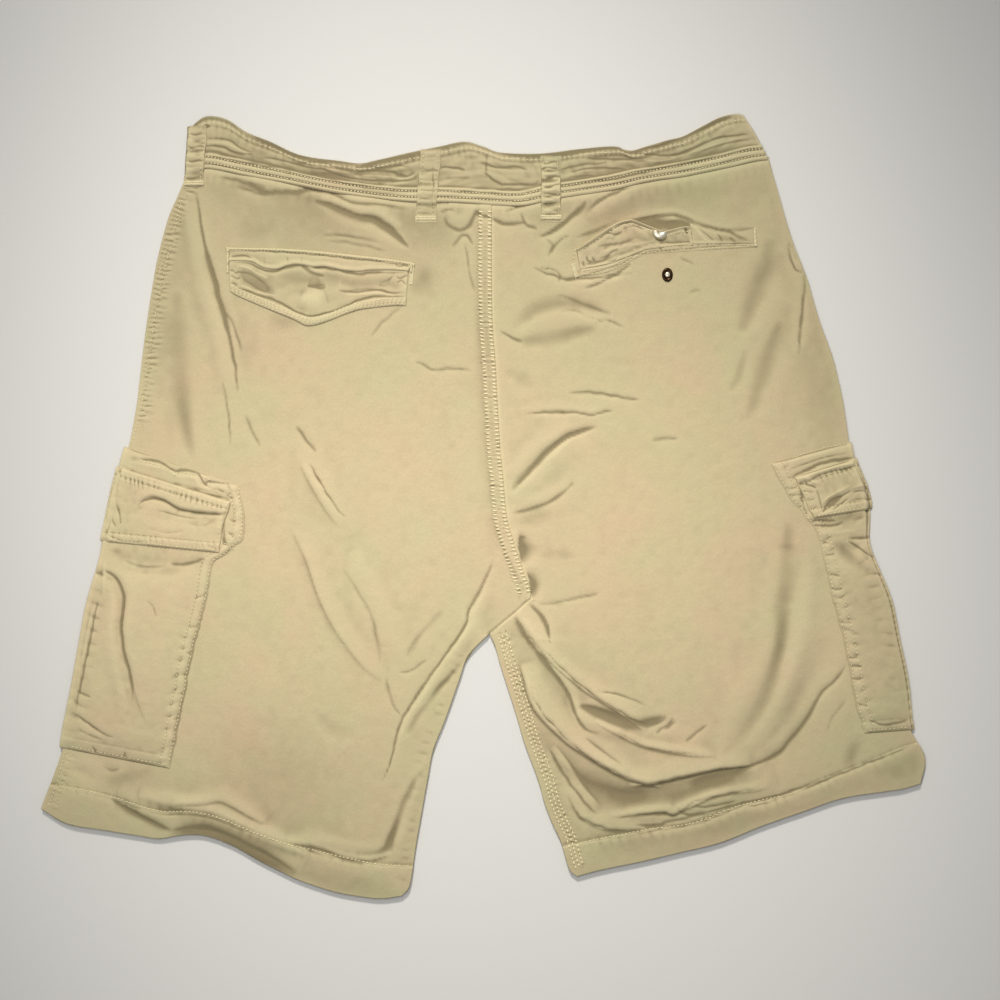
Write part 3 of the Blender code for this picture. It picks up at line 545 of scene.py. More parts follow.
centre = {  # the felled seam between the two back panels, and the fold at its lower end
    "seam": ((7.5,254.2), (7.2,208), (7.8,158), (10.4,122), (12,90), (14.6,47), (16.8,26), (18.6,4),
        (21,-14), (26.4,-32), (31,-46.3), (36,-60), (40.3,-72), (40.4,-78.6)),
    "tip": ((40.4,-78.6), (29,-89.5), (5.5,-109)),
    "fell": 11.6,  # width of the seam's strip on the left panel
    "fellRise": 0.35,
    "fellRows": (1.7, 9.3),
    "fellPuckers": ((1.9, 2.1, 0.6), (9.3, 2.5, 0.6), (5.6, 2.4, 0.35)),  # distance, width, rise
    "tuck": 2.6,  # how far the right panel runs on under the left one
    "tuckDrop": 1.25,
}

leftPanel = {
    "flat": (0.42, 0.62),
    "area": 0.195,
    "waist": ((-251,281), (-233,285), (-200,279), (-160,271.5), (-127,265), (-95,260.5), (-62,257),
        (-22,256.3), (7.5,254.2)),
    "side": ((-251,281), (-259,262), (-267,243), (-276,209), (-282,175), (-287,141), (-290,116), (-293,90),
        (-296,72), (-299,56), (-303.5,38), (-308.5,20), (-316.5,-12), (-322.5,-46), (-332.5,-80),
        (-339,-114), (-345,-148), (-352,-182), (-355.5,-203), (-363,-226), (-374.7,-257)),
    "hem": ((-374.7,-257), (-352,-270), (-320,-275.5), (-292,-280), (-275,-282.5), (-259,-280), (-243,-279),
        (-228,-282), (-209,-290), (-190,-301), (-172,-310), (-155,-318), (-126,-327.5), (-101,-332),
        (-85,-333.2), (-69,-331)),
    "inseam": ((5.5,-109), (-6,-120), (-14,-130), (-20,-148), (-32,-182), (-42,-207), (-46.5,-230),
        (-53,-267), (-57,-290), (-62,-322), (-69,-331)),
    "hemRow": ((-360,-237.5), (-336.6,-241), (-315.3,-246.1), (-294.1,-252.9), (-271.1,-258.8),
        (-246.5,-258.8), (-222.7,-263.9), (-198,-274.1), (-173.4,-283.5), (-149.6,-290.3), (-117.3,-297.9),
        (-92.6,-303), (-62,-305.6)),
    "rows": {
        "side": ((-255,260), (-275,175), (-286,102), (-293,68), (-298,52)),
        "side tack": ((-303,48), (-293,47)),
        "side tack lower": ((-302,41), (-294,41)),
        "lower outer": ((-352,-201), (-362,-238), (-368,-255)),
        "lower inner": ((-347,-203), (-357,-239), (-361,-257)),
    },
    "hemSewn": 13,
}
leftPanel["folds"] = {
    "left seat": (0.9, 14, 13, (-150,40), (-134,13), (-114,-16)),
    "left hem roll": (1.4, 13, 14, (-300,-246), (-266,-262), (-232,-266), (-196,-282), (-160,-300)),
    "left side band": (-0.9, 9, (-259,175), (-253,81), (-245,43)),
    "diagonal middle": (-0.8, 2.6, (-158,67), (-141,45)),
    "hem corner ledge": (1.7, 10, 3, (-159,-283), (-140,-286), (-117,-294), (-98,-297), (-84,-295)),
    "waist dark left": (-1.2, 2.4, 2.6, (-8,249), (-3,246), (9,243)),
    "side crease slope": (0.9, 12, 7, (-252,260), (-242,221), (-235,183), (-227,162), (-220,132),
        (-216,100)),
    "side crease": (-1.7, 2.2, 3, (-243,265), (-235,221), (-214,141), (-210,119), (-207,96)),
    "side crease wide": (-1, 5, 4, (-234,213), (-216,149)),
    "side crease end": (-0.5, 1.5, (-220,164), (-214,159), (-209,147), (-204,130)),
    "waist pull": (-1.3, 3.4, 4.6, (-140,257), (-129,255), (-117,249), (-105,245), (-94,243), (-85,238),
        (-76,231), (-67,222)),
    "waist pull slope": (0.9, 10, 5, (-133,261), (-103,250), (-88,248), (-74,239)),
    "waist pull line": (-0.8, 1.7, 2.2, (-134,256), (-111,247), (-92,242), (-82,235), (-73,227)),
    "waist pull second": (-1, 1.9, (-84,240), (-77,235), (-63,218)),
    "under band wavy": (-1, 2.4, 2.8, (-227,279), (-213,277), (-201,273), (-183,265), (-173,266),
        (-159,264), (-148,267), (-135,266), (-122,262), (-111,257), (-99,255), (-88,255), (-62,251)),
    "under band dark": (-0.7, 2.2, (-169,268), (-159,266), (-148,269), (-133,267), (-122,264), (-111,259)),
    "under band shallow": (-0.6, 2.2, (-219,278), (-203,276), (-184,269)),
    "under band small": (-0.5, 1.6, (-209,270), (-187,264), (-179,265)),
    "pocket upper line": (-0.45, 1.6, (-137,229), (-123,229), (-112,228), (-86,223)),
    "pocket upper line two": (-0.4, 1.6, (-133,224), (-116,223), (-99,220), (-81,215)),
    "right of loop": (-0.8, 1.6, (-40,255), (-33,256), (-28,255)),
    "cup": (-1.2, 2, 2.4, (-33,244), (-29,238), (-24,235), (-18,233), (-12,237), (-5,249), (2,249)),
    "cup ridge": (0.7, 4.5, (-28,248), (-22,244), (-14,245), (-10,252)),
    "arch": (-0.9, 1.9, (-26,219), (-19,228), (-15,229), (-12,227), (-8,221)),
    "arch side": (-0.45, 1.7, (-16,223), (-13,210), (-11,196), (-7,181)),
    "near loop curl": (-0.6, 1.6, (-36,248), (-30,251), (-24,250)),
    "seat diagonal": (-1.2, 1.7, (-147,36), (-126,1), (-116,-11)),
    "seat diagonal slope": (0.8, 9, 3, (-150,32), (-137,10), (-122,-12)),
    "seam side crease": (-0.6, 1.7, (-59,122), (-50,119), (-42,115), (-26,116), (-9,114)),
    "pocket foot pull": (-0.5, 1.7, (-68,170), (-87,153), (-95,142)),
    "thigh thin": (-0.5, 1.5, (8,-49), (-2,-72), (-7,-80)),
    "left thin line": (-0.45, 1.7, (-220,107), (-215,74), (-214,50)),
    "left soft line": (-0.5, 2.6, (-201,77), (-195,63), (-188,50)),
    "thigh long": (0.75, 11, 3.5, (-156,-26), (-146,-45), (-137,-70), (-126,-95), (-115,-113), (-99,-134),
        (-86,-145)),
    "thigh second": (-0.4, 3, (-118,-54), (-99,-84), (-93,-99), (-88,-119), (-87,-134)),
    "thigh third": (-0.5, 5, 3, (-36,-91), (-59,-117), (-65,-126)),
    "thigh cross": (-0.6, 2.6, (-47,-130), (-60,-139), (-71,-141)),
    "thigh tail": (-0.45, 2.2, (-82,-144), (-79,-159), (-75,-171), (-68,-179)),
    "thigh swell": (1, 13, (-108,-46), (-81,-99), (-72,-123)),
    "inseam crease": (-1.2, 1.4, 1.5, (9,-45), (0,-67), (-12,-89), (-16,-104), (-45,-145), (-59,-166),
        (-70,-185), (-78,-216), (-82,-227), (-87,-235)),
    "inseam ridge": (0.9, 7, 3.4, (3,-69), (-8,-91), (-13,-107), (-42,-148), (-55,-169), (-66,-188),
        (-72,-206)),
    "inseam second": (-0.8, 4.5, 3.6, (-13,-128), (-23,-138), (-41,-159), (-58,-181), (-66,-194)),
    "inseam outer": (0.8, 9, 7, (-43,-214), (-59,-239), (-64,-250), (-69,-263), (-73,-283)),
    "inseam valley": (-1.3, 6, 5, (-50,-223), (-58,-234), (-64,-245), (-69,-255), (-78,-283), (-85,-292),
        (-98,-295), (-113,-294), (-140,-286)),
    "lower left faint": (-0.35, 9, (-140,-176), (-126,-189), (-111,-193)),
    "under pocket wedge": (-0.9, 5, (-349,-223), (-339,-225), (-331,-230)),
    "under pocket line": (-0.7, 3.4, (-322,-221), (-314,-224), (-307,-222)),
    "hem roll": (3.4, 12, 6, (-283,-246), (-249,-254), (-222,-259), (-156,-291)),
    "hem curl foot": (-1.6, 4, (-264,-275), (-241,-274), (-218,-279), (-175,-301), (-158,-312)),
    "hem bulge": (1.6, 9, 4, (-256,-250), (-238,-248), (-222,-245), (-207,-251), (-188,-263)),
    "hem valley": (-2, 4.4, (-315,-249), (-285,-266), (-264,-275)),
    "hem line": (-0.7, 1.6, (-360,-239), (-337,-243), (-315,-248), (-294,-255), (-271,-261), (-246,-261),
        (-223,-266), (-173,-285), (-150,-292), (-117,-300), (-93,-305), (-66,-307)),
    "hem light crease": (-0.5, 1.6, (-222,-281), (-207,-291), (-173,-308)),
}
leftPanel["shades"] = {
    "side seam": (-0.3, 22, (-261,255), (-285,113)),
    "under waistband": (-0.42, 20, (-228,270), (-173,263), (-113,251), (-54,241), (-3,238)),
    "waist pull": (-0.25, 4.5, (-137,256), (-117,249), (-94,244), (-76,231), (-65,220)),
    "under band": (-0.4, 5, (-222,277), (-188,268), (-156,263), (-117,260)),
    "upper middle": (-0.15, 30, (-198,230), (-130,226), (-54,207)),
    "above pocket": (-0.2, 9, (-208,229), (-188,234), (-179,232)),
    "right of pocket": (-0.38, 9, (-56,183), (-50,190), (-45,198)),
    "below flap": (-0.45, 6, (-179,161), (-169,156), (-156,157)),
    "side crease": (-0.35, 9, 7, (-235,217), (-227,187), (-218,161), (-213,141)),
    "side crease lower": (-0.22, 12, 9, (-208,156), (-207,136), (-203,115)),
    "left side band": (-0.28, 11, (-266,158), (-261,130), (-252,50)),
    "left hem curl": (-1.5, 9, 12, (-258,-276), (-236,-275), (-215,-283), (-191,-295), (-164,-311)),
    "left hem curl core": (-0.4, 6, (-244,-273), (-228,-275), (-210,-283), (-179,-303)),
    "left hem wedge": (-0.8, 5, (-310,-254), (-297,-259), (-268,-274)),
    "left hem upper": (-0.35, 6, (-275,-253), (-258,-258), (-244,-258)),
    "left hem middle": (-0.18, 45, (-211,-204), (-185,-225), (-156,-250), (-147,-284)),
    "left hem corner": (0.5, 16, (-358,-210), (-339,-223), (-326,-242)),
    "crotch light": (0.6, 11, (-13,-85), (-8,-99), (-1,-114)),
    "left hem": (-0.05, 14, (-360,-232), (-317,-240), (-249,-250)),
    "left hem right": (-0.25, 12, (-156,-312), (-122,-318), (-79,-323)),
    "inseam valley": (-0.25, 5, (-47,-220), (-62,-245), (-72,-267), (-76,-284)),
    "inseam second": (-0.22, 4, (-14,-130), (-32,-149), (-49,-170), (-65,-194)),
    "inseam valley foot": (-0.3, 7, (-77,-274), (-81,-289), (-89,-298)),
    "under pocket": (-0.45, 7, (-344,-221), (-330,-227), (-313,-232), (-283,-225)),
    
    "fell left": (-0.08, 5, (-6,226), (-4,141), (0,39), (8,-46)),
    "fell": (-0.4, 5.5, (2,232), (2,175), (9,47), (13,-4), (23,-42), (35,-72)),
    "left edge below pocket": (-0.35, 8, (-358,-201), (-366,-225), (-371,-250)),
}
leftPanel["puckers"] = (  # route, distance to its left, width, pitch, rise, slant
    (leftPanel["hemRow"], -3, 5, 9, 0.13, 0.0),
    (leftPanel["hemRow"], 4, 5, 11, 0.1, 0.0),
    (leftPanel["side"][:9], 4.5, 4.6, 4.1, 1.2, 0.05),
    (leftPanel["side"][:9], 10, 4.2, 4.6, 0.45, 0.1),
    (leftPanel["side"][18:], 9, 5, 5.5, 0.3, 0.0),
    (leftPanel["waist"], -7, 6, 9, 0.1, 0.0),
    (leftPanel["inseam"], -6, 5, 9, 0.22, 0.0),
)

rightPanel = {
    "flat": (0.38, 0.62),
    "area": 0.175,
    "waist": ((7.5,254.2), (34,253.7), (67,260.5), (108,266.5), (140,273.7), (171,278.4), (203,285),
        (228,291), (242.3,293)),
    "side": ((242.3,293), (252,260), (262,226), (275,192), (285,158), (297,124), (305,90), (309,64),
        (313,39), (321,10), (324,-12), (324.5,-29), (329,-46), (342.5,-80), (350,-114), (357,-148),
        (360.5,-175), (363,-191), (374.7,-214), (370.8,-236)),
    "hem": ((79.5,-314.5), (100,-309), (134,-302), (168,-294), (201,-286), (236,-272), (270,-260),
        (304,-248.5), (338,-243), (355,-240.5), (370.8,-236)),
    "inseam": ((5.8,-109.3), (10.5,-120), (15.5,-138), (28,-177), (34.6,-200), (46.8,-233), (52,-252),
        (59,-270), (66,-285), (73,-308), (79.5,-314.5)),
    "hemRow": ((82,-285.5), (113,-279.2), (140.2,-274.1), (169.2,-270.7), (188.7,-265.6), (215.9,-254.6),
        (252.4,-246.1), (279.6,-235), (306.8,-224), (330.6,-214.6), (353.6,-205.3), (368,-201)),
    "rows": {
        "hem second": ((184,-266), (205,-258)),
        "pocket end": ((79,191), (76,205), (79,218)),
        "pocket end right": ((230,236), (230,218)),
    },
    "hemSewn": 7,  # the rest of the row is sunk in its crease
    "inseamRows": (5.6, 9.0, 12.4),
}
rightPanel["folds"] = {
    "crotch main": (2.2, 24, 14, (40,-150), (52,-178), (66,-191), (101,-216), (138,-231), (222,-217)),
    "crotch upper": (1.4, 18, 12, (36,-100), (59,-129), (82,-150), (117,-174), (131,-186)),
    "outer leg": (2.6, 20, (256,-50), (255,-80), (252,-108), (245,-135), (229,-162), (207,-202)),
    "outer leg trough": (-1.2, 13, (290,-117), (282,-142), (271,-169), (250,-208), (223,-226)),
    "knee ridge": (1.5, 13, 12, (100,-262), (170,-254), (209,-243), (240,-236)),
    "inner hem": (1.2, 11, (70,-243), (84,-262), (101,-269), (136,-271)),
    "seam pull upper": (1.6, 10, (27,10), (46,32), (68,53)),
    "seam pull lower": (1.2, 10, (26,-8), (70,14)),
    "right side soft": (-1, 16, (248,205), (233,185), (221,156)),
    "right side long": (-0.9, 16, (255,162), (232,106)),
    "broad diagonal ridge": (1, 9, (25,30), (57,59), (71,67)),
    "triangle soft": (-0.8, 9, (31,-9), (53,-5)),
    "seat right soft": (-0.7, 4, (47,-84), (70,-81), (98,-74)),
    "right of seam soft": (-0.6, 8, (23,113), (33,109), (40,102)),
    "outer soft": (-1.7, 9, (258,-19), (255,-80), (251,-119), (239,-157), (225,-184), (205,-208)),
    "outer soft ridge": (1.3, 9, (275,-46), (272,-97), (263,-136), (248,-170), (229,-201)),
    "seat dash": (-0.6, 2.2, (143,55), (154,57), (165,57)),
    "waist dark": (-1.3, 2.2, 2.6, (3,244), (19,239), (36,240)),
    "waist dark two": (-0.9, 1.7, (32,248), (37,238), (46,234)),
    "waist slant": (-0.9, 1.7, (18,249), (48,258)),
    "waist broad": (-1.4, 3, 3.6, (48,227), (65,235), (78,246), (88,258)),
    "waist broad edge": (-0.8, 1.6, (50,227), (68,239), (76,246), (82,254)),
    "waist broad slope": (0.9, 9, (62,226), (74,234), (86,245)),
    "waist long pull": (-1.2, 1.9, 2.2, (91,252), (99,258), (119,268), (139,275)),
    "waist long pull slope": (0.8, 4, 10, (94,249), (110,260), (128,269)),
    "waist small": (-0.5, 1.6, (74,260), (81,264), (101,272)),
    "under loop": (-0.7, 1.7, (55,210), (60,219), (67,226), (74,229)),
    "under loop two": (-0.5, 2.4, (53,226), (59,220), (58,212)),
    "corner long": (-1.4, 2, 2.2, (42,202), (65,193), (76,192), (105,194), (127,198)),
    "corner cross": (-1.5, 2, 2.2, (86,185), (94,187), (110,194), (125,205)),
    "corner inner": (-0.8, 1.4, (76,197), (87,198), (97,200), (105,204), (113,210)),
    "corner lead": (-0.7, 1.8, (48,201), (58,200), (65,195), (64,188)),
    "corner ridge": (0.7, 5, (81,189), (96,191), (111,195), (123,200)),
    "leaf upper": (-1, 9, 7, (26,149), (35,159), (45,167), (59,172), (76,173), (103,164)),
    "leaf upper line": (-0.4, 1.7, (62,177), (72,176), (102,164), (110,163)),
    "leaf crown": (1, 10, (31,149), (53,159), (78,161), (99,156)),
    "leaf left": (-0.8, 1.8, 3, (14,148), (26,141), (33,139)),
    "leaf lower": (-0.6, 6, 7, (26,141), (40,140), (59,142), (93,151)),
    "leaf lower tail": (-0.5, 1.7, 2, (94,153), (103,157), (111,155), (120,151)),
    "leaf small": (-0.4, 1.5, (65,164), (78,165), (91,159), (103,156)),
    "flat valley": (-1.5, 1.7, 2, (34,78), (53,79), (78,79), (91,77), (111,81)),
    "flat valley ledge": (0.7, 9, 6, (38,79), (57,80), (99,79)),
    "flat valley upper": (-0.9, 1.9, (72,95), (86,96), (99,95), (134,89)),
    "broad diagonal": (-1.7, 5, 3.4, (26,14), (32,22), (48,39), (69,57), (80,62), (94,66)),
    "broad diagonal line": (-0.9, 1.6, (29,17), (49,40), (60,50), (71,58), (83,63)),
    "triangle line": (-1.2, 2.2, 2.6, (24,-6), (38,-3), (53,2), (62,7), (70,13), (77,20)),
    "wedge upper": (-2, 10, 1.3, (31,-29), (31,-35), (33,-48)),
    "wedge lower": (-1.9, 8, 1.3, (38,-58), (40,-64), (42,-77)),
    "wedge line": (-0.6, 1.5, (29,-28), (37,-26)),
    "crotch valley": (-1.5, 1.9, 2.1, (26,-86), (30,-97), (40,-116), (56,-136), (72,-158), (78,-174),
        (83,-184), (90,-191), (99,-193)),
    "crotch valley slope": (1.1, 8, 3, (30,-94), (42,-114), (71,-151), (78,-167)),
    "crotch second": (-0.9, 1.6, (35,-79), (42,-86), (51,-97), (55,-108), (57,-118)),
    "crotch thin": (-0.5, 1.4, (40,-81), (54,-99), (56,-114)),
    "crotch ledge": (1.7, 13, 2.8, (38,-102), (59,-129), (82,-150), (101,-164), (117,-174), (130,-184)),
    "crotch ledge line": (-1.2, 1.6, 2, (45,-114), (59,-130), (82,-151), (102,-166), (118,-175), (128,-182),
        (139,-186), (150,-184), (157,-178)),
    "crotch upper lip": (-0.7, 1.5, (95,-157), (116,-160), (138,-169)),
    "crotch shade": (-1.6, 5, 6, (85,-170), (96,-173), (123,-184), (138,-184), (152,-180)),
    "crotch low ridge": (1.2, 6, 5, (74,-164), (85,-179), (99,-186), (116,-193)),
    "crotch hook": (-0.9, 1.5, (146,-193), (158,-184), (161,-179)),
    "main": (3.4, 17, 3, (37,-145), (42,-161), (49,-174), (65,-191), (82,-205), (118,-227), (139,-234)),
    "main line": (-1.4, 1.8, 2.2, (40,-152), (43,-163), (50,-175), (58,-184), (82,-207), (118,-228),
        (139,-235), (145,-236)),
    "knee": (2.6, 14, 2.6, (133,-234), (162,-229), (189,-223), (217,-220)),
    "knee line": (-1.3, 1.6, 2.2, (139,-236), (190,-225), (216,-221), (225,-223)),
    "knee shade": (-1.1, 6, 9, (62,-218), (82,-232), (105,-241), (133,-244), (197,-231), (220,-224)),
    "knee upper": (1.2, 8, 2.4, (99,-184), (116,-193), (138,-203), (176,-209), (190,-210)),
    "knee upper line": (-0.9, 1.6, 1.7, (110,-189), (118,-194), (139,-204), (176,-210), (189,-211)),
    "knee dip": (-1, 4, (87,-196), (118,-220)),
    "knee tick": (-0.7, 1.5, (171,-200), (190,-185)),
    "knee small tick": (-0.6, 1.5, (154,-191), (164,-181)),
    "inner thin": (-1, 1.6, 1.7, (56,-206), (70,-230), (89,-255), (97,-261)),
    "inner thin slope": (1, 3, 8, (62,-208), (82,-240), (94,-252)),
    "inner hem crease": (-1.1, 1.7, 1.9, (71,-245), (80,-261), (86,-266), (101,-272), (116,-275),
        (135,-274)),
    "inner hem ledge": (1, 8, 3, (77,-255), (91,-266), (110,-272), (133,-272)),
    "hem pull long": (1.2, 7, 2.2, (111,-261), (152,-257), (162,-259), (195,-244), (237,-238)),
    "hem pull line": (-1.1, 1.5, 1.7, (113,-264), (123,-262), (135,-261), (156,-261), (163,-262),
        (175,-253), (184,-249), (210,-243), (236,-239)),
    "hem pull low": (-1, 1.6, 1.7, (128,-270), (149,-271), (156,-268), (171,-265), (183,-261)),
    "hem pull fork": (-0.8, 1.5, (164,-255), (168,-260), (178,-262), (190,-259)),
    "hem pull right": (-0.8, 1.5, (176,-254), (189,-255), (203,-253), (216,-250)),
    "hem line": (-0.7, 1.6, (90,-285), (140,-276), (169,-272), (189,-267), (216,-256), (252,-248),
        (354,-207), (370,-203)),
    "hem line right": (-1, 1.5, 1.8, (176,-264), (209,-255), (245,-247), (290,-232), (371,-200)),
    "outer smudge": (-0.5, 7, (319,-198), (314,-210), (308,-220)),
    "outer valley": (-1.7, 2.4, 3.6, (309,-133), (298,-148), (286,-160), (274,-181), (261,-198), (247,-212),
        (208,-230)),
    "outer valley ridge": (0.9, 12, 9, (292,-142), (278,-162), (266,-182), (252,-199), (237,-210)),
    "outer thin": (-0.4, 2.4, (308,-163), (296,-179), (290,-193)),
    "pocket mouth": (-1.6, 5.5, (133,240), (156,238), (167,239)),
    "pocket mouth rim": (-1.3, 1.4, 1.8, (123,241), (157,246), (167,245), (178,241)),
    "pocket mouth lip": (0.25, 3.5, 2, (123,244), (133,244), (149,248), (166,248), (176,244), (208,234)),
    "pocket wedge rim": (-0.8, 1.4, 1.6, (176,241), (194,235), (208,232), (217,227), (224,225)),
    "pocket end rim": (-0.5, 1.3, (194,235), (206,233), (230,235)),
    "pocket outer fold": (-0.6, 1.6, (79,227), (96,233), (107,238)),
    "under welt tick": (-0.35, 1.6, (167,210), (179,204)),
    "side soft upper": (-1, 11, (242,219), (240,207), (235,195), (226,166), (221,153)),
    "side soft long": (-0.5, 7, (250,153), (229,85), (220,73)),
    "side soft small": (-0.6, 5, (222,130), (217,111), (210,98)),
    "side crisp": (-1.3, 1.7, (258,227), (260,214), (264,202), (269,198), (273,193), (267,127)),
    "side crisp slope": (0.4, 9, 7, (263,217), (270,190), (269,164), (266,132)),
    "side tuck": (-0.8, 2, (260,223), (267,207)),
    "seat dash upper": (-0.35, 2, (174,180), (179,182), (185,183)),
}
rightPanel["shades"] = {
    "under waistband": (-0.3, 24, (14,241), (65,246), (116,255), (235,278)),
    "waist broad": (-0.35, 4, (53,229), (67,239), (88,257)),
    "waist long": (-0.4, 3.4, (93,254), (128,271), (139,274)),
    "waist right": (-0.05, 22, (184,260), (218,247), (244,230)),
    "pocket mouth": (-1.3, 5.4, (130,241), (150,238), (171,238), (177,239)),
    "pocket mouth left": (-0.5, 2.4, (82,223), (99,234), (116,242)),
    "pocket wedge": (-0.5, 1.7, (183,238), (195,234), (208,231), (227,223)),
    "pocket wedge end": (-0.6, 2.6, (214,224), (228,222)),
    "right side": (-0.2, 20, (269,226), (280,141), (288,90), (300,47)),
    "side soft": (-0.3, 13, (246,226), (240,200), (229,175), (220,149)),
    "side long": (-0.25, 9, (250,149), (227,83)),
    "leaf": (-0.5, 8, (35,158), (48,166), (65,170), (82,169), (96,164)),
    "leaf lower": (-0.3, 7, (31,141), (53,142), (78,147), (93,149)),
    "broad diagonal": (-0.42, 6, (27,16), (53,44), (67,56), (89,64)),
    "triangle": (-0.3, 8, (25,-6), (40,-6), (55,0), (67,10)),
    "wedge": (-0.9, 9, 1.5, (31,-32), (33,-43)),
    "wedge lower": (-0.9, 7, 1.5, (39,-63), (41,-68), (42,-74)),
    "wedge tail": (-0.3, 5, (48,-43), (62,-40), (76,-43)),
    "crotch": (-0.5, 6, 9, (30,-96), (42,-119), (59,-138), (71,-157), (78,-176)),
    "crotch line": (-0.5, 2, (26,-87), (31,-99), (42,-117), (67,-151), (74,-163), (80,-178), (89,-191)),
    "crotch ledge": (-0.5, 2.2, (48,-119), (76,-147), (93,-159), (127,-181), (144,-185), (156,-179)),
    "crotch dark": (-0.9, 6, 7, (82,-169), (113,-181), (127,-185), (142,-183), (154,-179)),
    "knee upper line": (-0.45, 2, (93,-182), (110,-190), (128,-200), (146,-207), (167,-210), (186,-210)),
    "main line": (-0.6, 2.2, (38,-148), (43,-164), (53,-179), (67,-193), (84,-208), (103,-220), (123,-230),
        (140,-236)),
    "knee line": (-0.6, 2.2, (137,-237), (195,-224), (215,-221)),
    "main dark": (-0.35, 8, 11, (45,-189), (62,-208), (82,-223), (106,-233), (132,-240)),
    "knee dark": (-0.45, 7, 8, (65,-223), (88,-235), (110,-242), (138,-244)),
    "knee right dark": (-0.8, 7, (176,-234), (225,-224)),
    "below knee": (-0.3, 12, (99,-250), (142,-252), (227,-235)),
    "lower leg": (-0.25, 22, (65,-250), (116,-267), (176,-255), (235,-238)),
    "outer valley": (-0.4, 5, 7, (302,-143), (286,-160), (274,-181), (261,-198), (247,-212), (228,-221)),
    "outer soft": (-0.15, 14, (255,-46), (255,-80), (251,-114), (242,-142), (223,-176)),
    "outer smudge": (-0.22, 6, (316,-201), (308,-221)),
    "hem": (-0.22, 14, (99,-289), (184,-276), (269,-250), (346,-221)),
    "outer light": (0.5, 26, (265,-72), (282,-114), (295,-157)),
    "hem corner": (-0.3, 12, (337,-225), (354,-221), (368,-212)),
    "left of pocket": (-0.25, 10, (265,-10), (259,-34), (256,-85), (252,-110), (242,-133)),
    
}
rightPanel["puckers"] = (
    (rightPanel["hemRow"], -3, 5, 9, 0.18, 0.0),
    (rightPanel["inseam"], 5.6, 1.7, 3.7, 0.9, 0.2),
    (rightPanel["inseam"], 9.0, 1.7, 3.7, 0.9, -0.2),
    (rightPanel["inseam"], 12.4, 1.7, 3.7, 0.9, 0.2),
    (rightPanel["waist"], -7, 6, 9, 0.12, 0.0),
)


# Height of a panel's outer face: a lift away from its free edges, its folds, and the hem's second layer.
def panelHeight(places, runs, panel, edges):
    away = np.minimum.reduce([np.abs(nearest(places, smooth(edge, 4))[0]) for edge in edges])
    x, y = places[..., 0], places[..., 1]
    relief = 0.3 * lumps(x / 46, y / 58) + 0.16 * lumps(x / 19, y / 25, 2) + 0.07 * lumps(x / 8, y / 9, 4)
    addFolds(relief, places, panel["folds"])
    for number, (route, distance, width, pitch, rise, slant) in enumerate(panel["puckers"]):
        pucker(relief, places, route, distance, width, pitch, rise, slant, shift=number)
    for row in [panel["hemRow"], *panel["rows"].values()]:
        addFolds(relief, places, {"row": (-0.25, 1.2, *row)})
    height = panelTop + 1.7 * (1 - np.exp(-away / 24)) + (0.3 + 0.7 * step(away / 10)) * relief
    height += 0.8 * step((1.0 - nearest(places, smooth(panel["hemRow"], 6))[0]) / 2.0)
    height -= 0.9 * step((4.6 - runs["north"]) / 2.6)
    return height, away


underBand = 2.5  # how far a panel's top edge runs on under the waistband


# A panel's grid: its rows land on the seam tip's two ends, and its top edge runs on under the waistband.
def backPanel(name, node, panel, westEdges, eastEdges):
    across = marks(300, 1.33, multiple=6) / 300
    legs = marks(230, 1.55, multiple=6) / 230
    parts = (np.linspace(0, 1, 229)[:-1], np.linspace(0, 1, 25)[:-1], legs)
    west, east = (np.vstack([spaced(edge, part) for edge, part in zip(edges, parts)])
                  for edges in (westEdges, eastEdges))
    north = along(panel["waist"], across) + (0, underBand)
    places = coons(north, along(panel["hem"], across), west, east)
    runs = gridRuns(places)
    height, away = panelHeight(places, runs, panel, (panel["side"], panel["hem"], panel["inseam"]))
    seam = smooth(centre["seam"], 6)
    seamAndTip = np.vstack([seam, smooth(centre["tip"], 6)[1:]])
    beyond = nearest(places, seamAndTip)[0]  # positive on the right panel
    if panel is leftPanel:
        off = nearest(places, seam)[0]
        strip = centre["fell"] * (1 - 0.6 * step((nearest(places, seam)[1] - 0.8) / 0.2))
        height += centre["fellRise"] * step((strip + off) / 3.0) * (off < 1.0)
        for middle, width, rise in centre["fellPuckers"]:
            pucker(height, places, centre["seam"], -middle, width, 3.3, rise, slant=0.3, shift=11)
        height -= 1.0 * (1 - step(np.abs(beyond) / 3.0)) * step((-78.5 - places[..., 1]) / 4)
        for row in centre["fellRows"]:
            height -= 0.12 * bell((off + row) / 0.9)
        away = np.minimum(away, np.abs(beyond))
    else:
        height -= centre["tuckDrop"] * step((1.0 - beyond) / 2.4)
    height = np.maximum(height, panelTop - 0.6) - rolled(away, 0.85)
    # The shade table paints shade and light into the cloth's colour.
    shade = np.zeros(height.shape)
    addFolds(shade, places, panel["shades"])
    low = spread(height, np.min, reach=6)
    inner = np.minimum(np.maximum(low - 1.35, underside - 0.1), height - 0.4)
    if panel is leftPanel:
        seamRows = len(parts[0]) + len(parts[1]) + 1
        inner[:seamRows, -1] = height[:seamRows, -1] - 0.35  # the seam's edge lies on the right panel
    obj = shell(name, np.dstack([places, height]), np.dstack([places, inner]), 6, shade)
    lay(np.dstack([places, height]))
    finishPiece(obj, node)
    sewOnGround(panel["hemRow"][: panel["hemSewn"]], radius=0.5)
    for row in panel["rows"].values():
        sewOnGround(row)


# A side edge in three runs, cut level with the two ends of the seam tip.
def splitSide(side):
    curve = smooth(side)
    cuts = [int(np.abs(curve[:, 1] - level).argmin()) for level in (-92, -122)]
    bounds = [0, *cuts, len(curve) - 1]
    return [curve[a : b + 1] for a, b in zip(bounds, bounds[1:])]


